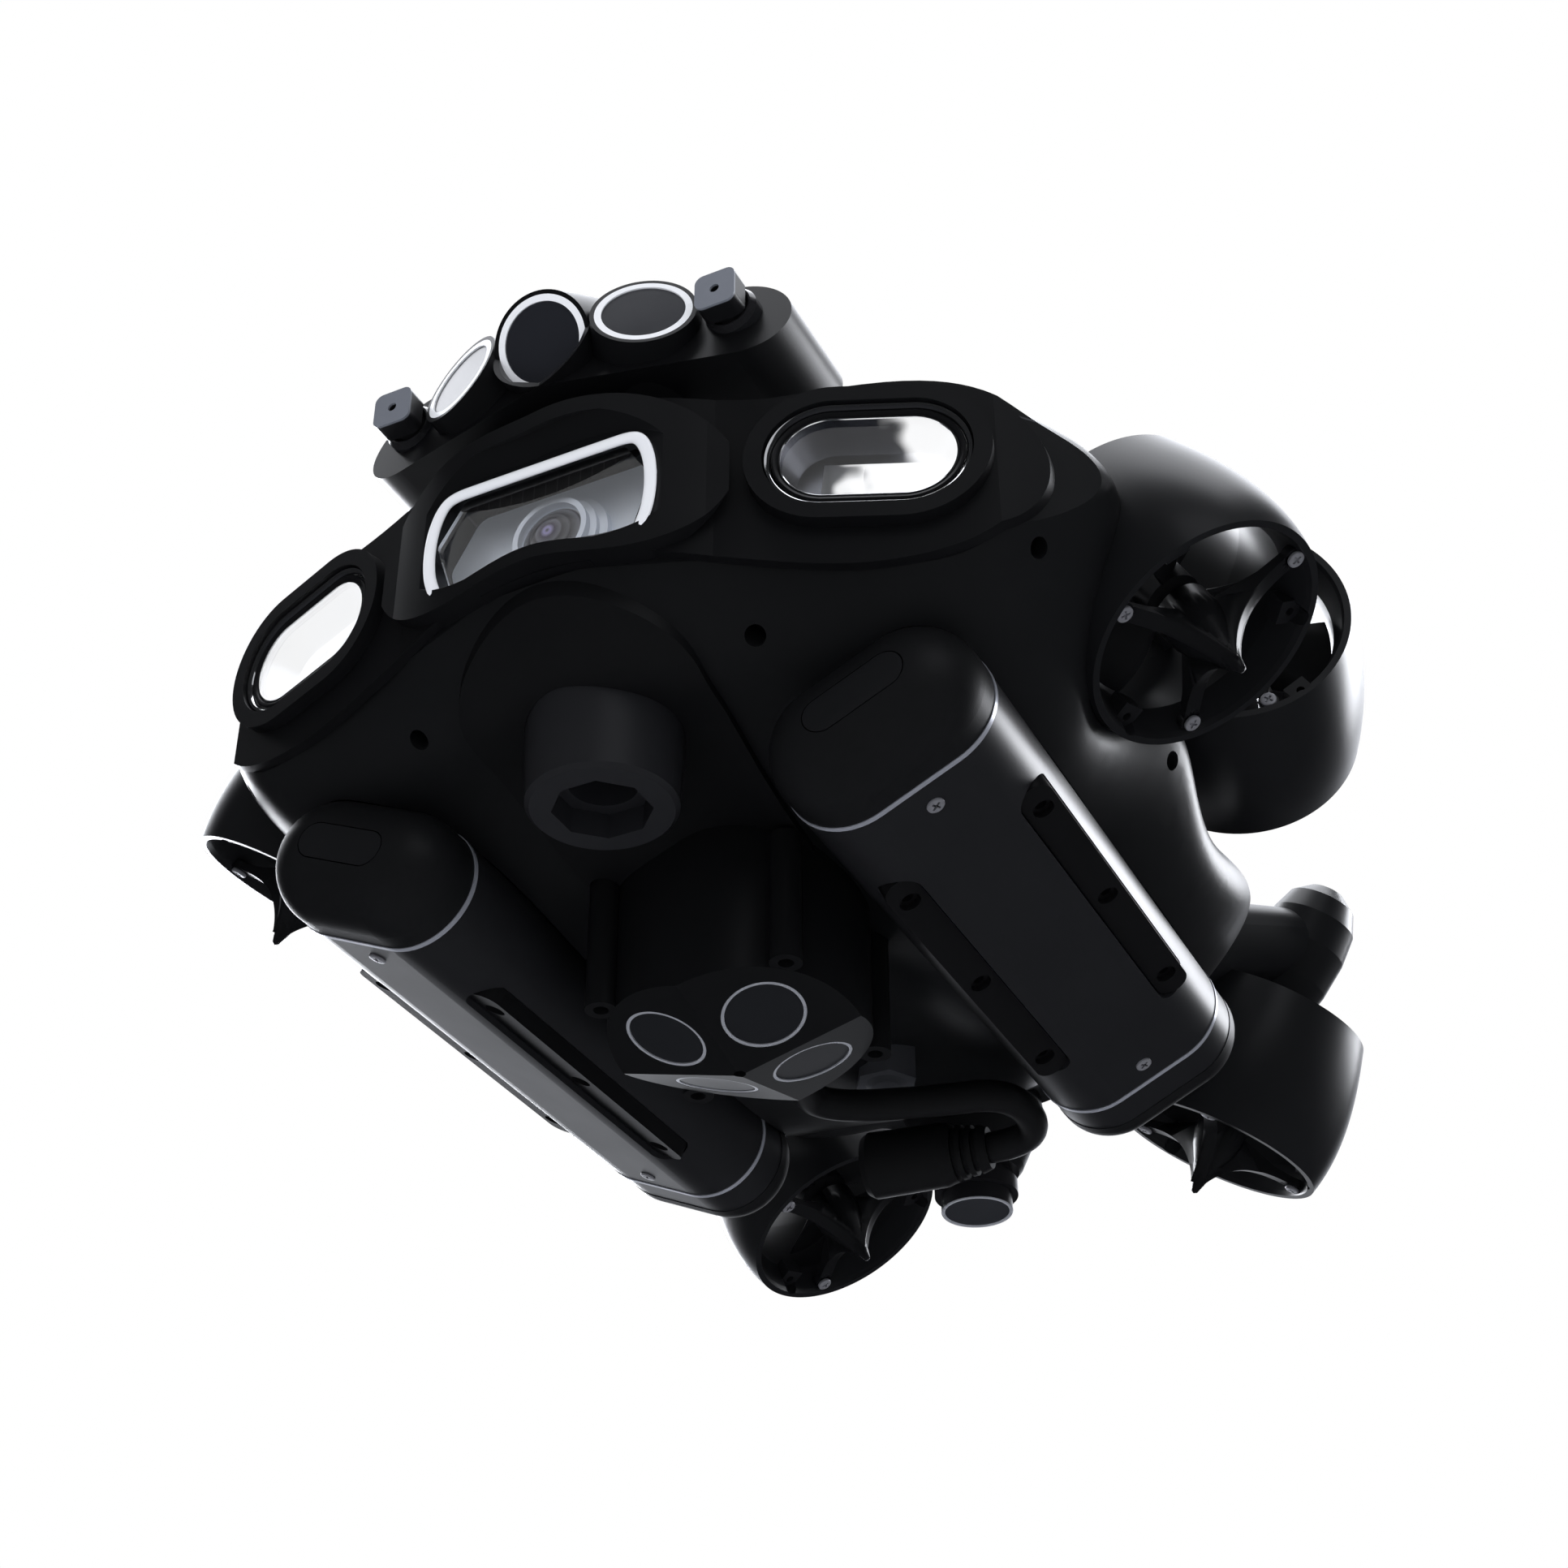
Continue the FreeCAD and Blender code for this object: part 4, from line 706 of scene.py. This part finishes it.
laser_face_y = -0.0345
laser_metal, laser_tree, laser_shader, laser_wear = finish_of(
    "laser_metal", (0.16, 0.17, 0.195), (0.5, 0.5, 0.52), 0.34,
    size=3000, depth=0.05)
laser_place = add(laser_tree, "ShaderNodeTexCoord")
laser_axes = add(laser_tree, "ShaderNodeSeparateXYZ")
laser_tree.links.new(laser_place.outputs["Object"], laser_axes.inputs[0])
laser_front = add(laser_tree, "ShaderNodeMapRange", sockets={
    "From Min": laser_face_y - 0.0016, "From Max": laser_face_y - 0.0013})
laser_tree.links.new(laser_axes.outputs["Y"], laser_front.inputs["Value"])
laser_paint = add(laser_tree, "ShaderNodeMix", data_type="RGBA", sockets={7: (0.008, 0.008, 0.009, 1)})
laser_tree.links.new(laser_front.outputs["Result"], laser_paint.inputs[0])
laser_tree.links.new(laser_wear.outputs[2], laser_paint.inputs[6])
laser_tree.links.new(laser_paint.outputs[2], laser_shader.inputs["Base Color"])
dress(laser_metal, "starboard_laser", "port_laser")
socket_black = finish_of(
    "socket_black", (0.010, 0.010, 0.011), (0.03, 0.03, 0.03), 0.20,
    depth=0.03, specular=0.7)[0]
dress(socket_black, "laser_sockets")

# --- batteries -------------------------------------------------------------
# Extruded black-anodised tubes with bright thin rings, soft-touch domes in
# front, collared caps behind, and two screwed rail plates let into each.

tube_anodised = finish_of(
    "tube_anodised", (0.0080, 0.0082, 0.0094), (0.016, 0.016, 0.018), 0.36,
    size=1800, depth=0.08, specular=0.6, amount=0.4)[0]
dress(tube_anodised, "battery_tubes", "battery_collars")
cap_soft = finish_of(
    "cap_soft", (0.0052, 0.0054, 0.0062), (0.010, 0.010, 0.011), 0.46,
    size=3200, depth=0.2, specular=0.45)[0]
dress(cap_soft, "battery_front_caps", "battery_rear_caps")
window_smoke = finish_of(
    "window_smoke", (0.0062, 0.0064, 0.0074), (0.012, 0.012, 0.013), 0.42,
    size=2400, depth=0.04, specular=0.5)[0]
dress(window_smoke, "battery_windows")
ring_silver = finish_of(
    "ring_silver", (0.34, 0.35, 0.39), (0.2, 0.2, 0.2), 0.30,
    depth=0.03, amount=0.3, metal=0.6)[0]
dress(ring_silver, "battery_rings")
rail_black = finish_of(
    "rail_black", (0.0036, 0.0036, 0.0042), (0.012, 0.012, 0.013), 0.42,
    size=2400, depth=0.1, specular=0.5)[0]
dress(rail_black, "battery_rails")

# --- cross-head screws -----------------------------------------------------
# Stainless pan-head screws, 4.6 mm across. Three hold each thruster guard
# in its rim, and two close each battery tube's face.

screw_radius = 0.0023
screw_height = 0.0012
crown_width = 0.0004
cross_size = (0.0026, 0.00062, 0.0012)


def make_screw():
    """One head at the origin, its top face up, with a cross recess."""
    bpy.ops.object.select_all(action="DESELECT")
    bpy.ops.mesh.primitive_cylinder_add(vertices=40, radius=screw_radius, depth=screw_height,
                                        location=(0, 0, screw_height / 2))
    head = bpy.context.object
    bpy.ops.object.transform_apply(location=True, rotation=True, scale=True)
    crown = head.modifiers.new("crown", "BEVEL")
    crown.width = crown_width
    crown.segments = 3
    crown.limit_method = "ANGLE"
    bpy.ops.object.modifier_apply(modifier="crown")
    for turn in (0.0, math.pi / 2):
        bpy.ops.object.select_all(action="DESELECT")
        bpy.ops.mesh.primitive_cube_add(size=1.0, location=(0, 0, screw_height), rotation=(0, 0, turn))
        blade = bpy.context.object
        blade.scale = cross_size
        bpy.ops.object.transform_apply(location=True, rotation=True, scale=True)
        bpy.ops.object.select_all(action="DESELECT")
        head.select_set(True)
        bpy.context.view_layer.objects.active = head
        recess = head.modifiers.new("recess", "BOOLEAN")
        recess.operation = "DIFFERENCE"
        recess.object = blade
        bpy.ops.object.modifier_apply(modifier="recess")
        bpy.data.objects.remove(blade)
    return head


def set_screws(name, first, places):
    """Copies of one screw, joined in one piece.

    Each place has its point, its way up, its turn and whether it is mirrored to port.
    """
    made = []
    for at, way, turn, to_port in places:
        copy = first.copy()
        copy.data = first.data.copy()
        bpy.context.scene.collection.objects.link(copy)
        lie = Vector((0, 0, 1)).rotation_difference(Vector(way)).to_matrix().to_4x4()
        copy.data.transform(Matrix.Translation(at) @ lie @ Matrix.Rotation(turn, 4, "Z"))
        if to_port:
            copy.data.transform(Matrix.Scale(-1, 4, (1, 0, 0)))
            copy.data.flip_normals()
        made.append(copy)
    bpy.ops.object.select_all(action="DESELECT")
    for copy in made:
        copy.select_set(True)
    bpy.context.view_layer.objects.active = made[0]
    bpy.ops.object.join()
    joined = bpy.context.object
    joined.name = name
    joined.data.name = name
    bpy.ops.object.shade_smooth_by_angle(angle=math.radians(40))
    return joined


# Each starboard thruster: its place, the way that its guard faces, the angle
# of its first screw, and the turn of its guard from where CAD puts it.
cant = math.radians(30)
toe_out = math.radians(15)
guard_rings = [
    ("front", (0.1362, 0.0605, 0.0474), (math.sin(cant), 0, -math.cos(cant)), 60, 40),
    ("side", (0.1268, 0.1247, 0.1005), (math.sin(toe_out), -math.cos(toe_out), 0), 60, -20),
    ("rear", (0.0639, 0.2721, 0.0163), (-math.sin(cant), 0, -math.cos(cant)), 14, -26),
]
guard_screw_ring = 0.029
guard_screw_sink = 0.0016
guard_places = []
for _, centre, way, first_angle, _ in guard_rings:
    lie = Vector((0, 0, 1)).rotation_difference(Vector(way)).to_matrix()
    for i in range(3):
        angle = math.radians(first_angle + 120 * i)
        spot = Vector((
            guard_screw_ring * math.cos(angle), guard_screw_ring * math.sin(angle), -guard_screw_sink))
        driven = 0.6 + 1.1 * i
        for to_port in (False, True):
            guard_places.append((Vector(centre) + lie @ spot, way, driven, to_port))
first_screw = make_screw()
guard_heads = set_screws("guard_screw_heads", first_screw, guard_places)

battery_face = (0.0777, -0.0096)
battery_way = (0.4163, 0, -0.9092)
battery_screw_y = (0.021, 0.163)
battery_screw_sink = 0.0008
battery_places = []
for y in battery_screw_y:
    at = Vector((battery_face[0], y, battery_face[1])) - Vector(battery_way) * battery_screw_sink
    for to_port in (False, True):
        battery_places.append((at, battery_way, 0.5, to_port))
battery_heads = set_screws("battery_face_screws", first_screw, battery_places)
bpy.data.objects.remove(first_screw)
screw_steel = finish_of(
    "screw_steel", (0.30, 0.30, 0.32), (0.18, 0.18, 0.19), 0.32,
    size=2600, depth=0.06, amount=0.5, metal=0.7)[0]
for heads in (guard_heads, battery_heads):
    heads.data.materials.clear()
    heads.data.materials.append(screw_steel)
    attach(heads, "rov")
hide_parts("guard_screws")

# --- velocity log ----------------------------------------------------------
# A machined black acetal body with four acoustic windows on its facets,
# each in a thin steel ring, and screw lugs down its corners.

log_acetal = finish_of(
    "log_acetal", (0.0040, 0.0041, 0.0046), (0.009, 0.009, 0.010), 0.36,
    size=1600, depth=0.1, specular=0.35)[0]
dress(log_acetal, "dvl_body")
log_window = finish_of(
    "log_window", (0.0075, 0.0080, 0.0095), (0.014, 0.014, 0.016), 0.30,
    size=2600, depth=0.05, specular=0.5)[0]
dress(log_window, "dvl_discs")
thin_steel = finish_of(
    "thin_steel", (0.42, 0.43, 0.46), (0.3, 0.3, 0.3), 0.28,
    depth=0.03, amount=0.3, metal=0.6)[0]
dress(thin_steel, "dvl_rings")

# --- plug, vent and altimeter ----------------------------------------------
# Black moulded plug with a ribbed strain relief, a hexagonal vent nut, and
# the altimeter's collared body with its pale-ringed face under the tail.

plug_rubber = finish_of(
    "plug_rubber", (0.0044, 0.0044, 0.0050), (0.010, 0.010, 0.011), 0.46,
    size=2600, depth=0.18)[0]
dress(plug_rubber, "cable_plug")
nut_steel = finish_of(
    "nut_steel", (0.16, 0.165, 0.18), (0.3, 0.3, 0.32), 0.30,
    size=2000, depth=0.06, amount=0.6, metal=0.8)[0]
dress(nut_steel, "vent_nut")
altimeter_satin = finish_of(
    "altimeter_satin", (0.0065, 0.0065, 0.0075), (0.015, 0.015, 0.016), 0.30,
    size=2200, depth=0.06, specular=0.6)[0]
dress(altimeter_satin, "altimeter")
altimeter_window = finish_of(
    "altimeter_window", (0.014, 0.015, 0.018), (0.03, 0.03, 0.034), 0.36,
    size=2600, depth=0.05)[0]
dress(altimeter_window, "altimeter_face")
dress(hull_satin, "tail_housing")

altimeter_at = (0.0, 0.230)
altimeter_profile = [(10.95, -9.5), (10.75, -9.85), (10.1, -9.85), (9.8, -9.5)]
altimeter_corners = 72
face_ring = lofted_ring(altimeter_profile, altimeter_corners)
face_ring.name = "altimeter_face_ring"
face_ring.data.transform(Matrix.Translation((*altimeter_at, 0)))
bpy.ops.object.shade_smooth_by_angle(angle=math.radians(50))
face_ring.data.materials.append(thin_steel)
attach(face_ring, "rov")

# --- thrusters -------------------------------------------------------------
# Six gloss-moulded ducts with swept three-fin guards, turned to face their
# screws. Each propeller turns on a potted motor in the duct's throat.

duct_gloss = finish_of(
    "duct_gloss", (0.0058, 0.0060, 0.0068), (0.009, 0.009, 0.010), 0.33,
    size=2000, depth=0.06, specular=0.5)[0]
guard_black = finish_of(
    "guard_black", (0.0042, 0.0043, 0.0050), (0.010, 0.010, 0.011), 0.36,
    size=2200, depth=0.08, specular=0.5)[0]
blade_black = finish_of(
    "blade_black", (0.0046, 0.0047, 0.0054), (0.010, 0.010, 0.011), 0.32,
    size=2200, depth=0.08, specular=0.5)[0]
motor_dark = finish_of(
    "motor_dark", (0.05, 0.05, 0.055), (0.09, 0.09, 0.1), 0.34,
    size=1600, depth=0.08, metal=0.8)[0]
for place_name, centre, way, _, guard_turn in guard_rings:
    for side, sign in (("starboard", 1), ("port", -1)):
        thruster = "%s_%s" % (place_name, side)
        at = Vector((sign * centre[0], centre[1], centre[2]))
        axis = Vector((sign * way[0], way[1], way[2]))
        fins = nodes[thruster + "_guard"].copy()
        fins.data = fins.data.copy()
        fins.name = thruster + "_fins"
        fins.data.name = fins.name
        fins.parent = None
        # The copy drops the marks that tie the guard to its CAD node.
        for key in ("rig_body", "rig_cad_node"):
            if key in fins:
                del fins[key]
        bpy.context.scene.collection.objects.link(fins)
        spin = Matrix.Rotation(math.radians(sign * guard_turn), 4, axis)
        fins.data.transform(Matrix.Translation(at) @ spin @ Matrix.Translation(-at))
        bpy.ops.object.select_all(action="DESELECT")
        fins.select_set(True)
        bpy.context.view_layer.objects.active = fins
        bpy.ops.object.mode_set(mode="EDIT")
        bpy.ops.mesh.select_all(action="SELECT")
        bpy.ops.mesh.remove_doubles(threshold=weld_gap)
        bpy.ops.object.mode_set(mode="OBJECT")
        bpy.ops.object.shade_smooth_by_angle(angle=math.radians(30))
        fins.data.materials.clear()
        fins.data.materials.append(guard_black)
        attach(fins, "rov")
        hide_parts(thruster + "_guard")
        dress(duct_gloss, thruster + "_duct")
        dress(blade_black, thruster + "_propeller")
dress(duct_gloss, "side_arms", "rear_arms")
dress(motor_dark, "thruster_motors")

# --- electronics -----------------------------------------------------------
# Hidden in the hull: the pressure housing in black anodised alloy and the
# green circuit board that slides into it.

housing_anodised = finish_of(
    "housing_anodised", (0.012, 0.012, 0.013), (0.05, 0.05, 0.055), 0.36,
    size=1500, depth=0.1, metal=0.5)[0]
dress(housing_anodised, "electronics_housing")
board_green = finish_of(
    "board_green", (0.01, 0.05, 0.02), (0.3, 0.25, 0.1), 0.4,
    size=900, depth=0.1, amount=0.8)[0]
dress(board_green, "circuit_board")

# --- view transform --------------------------------------------------------

bpy.context.scene.view_settings.view_transform = "Standard"
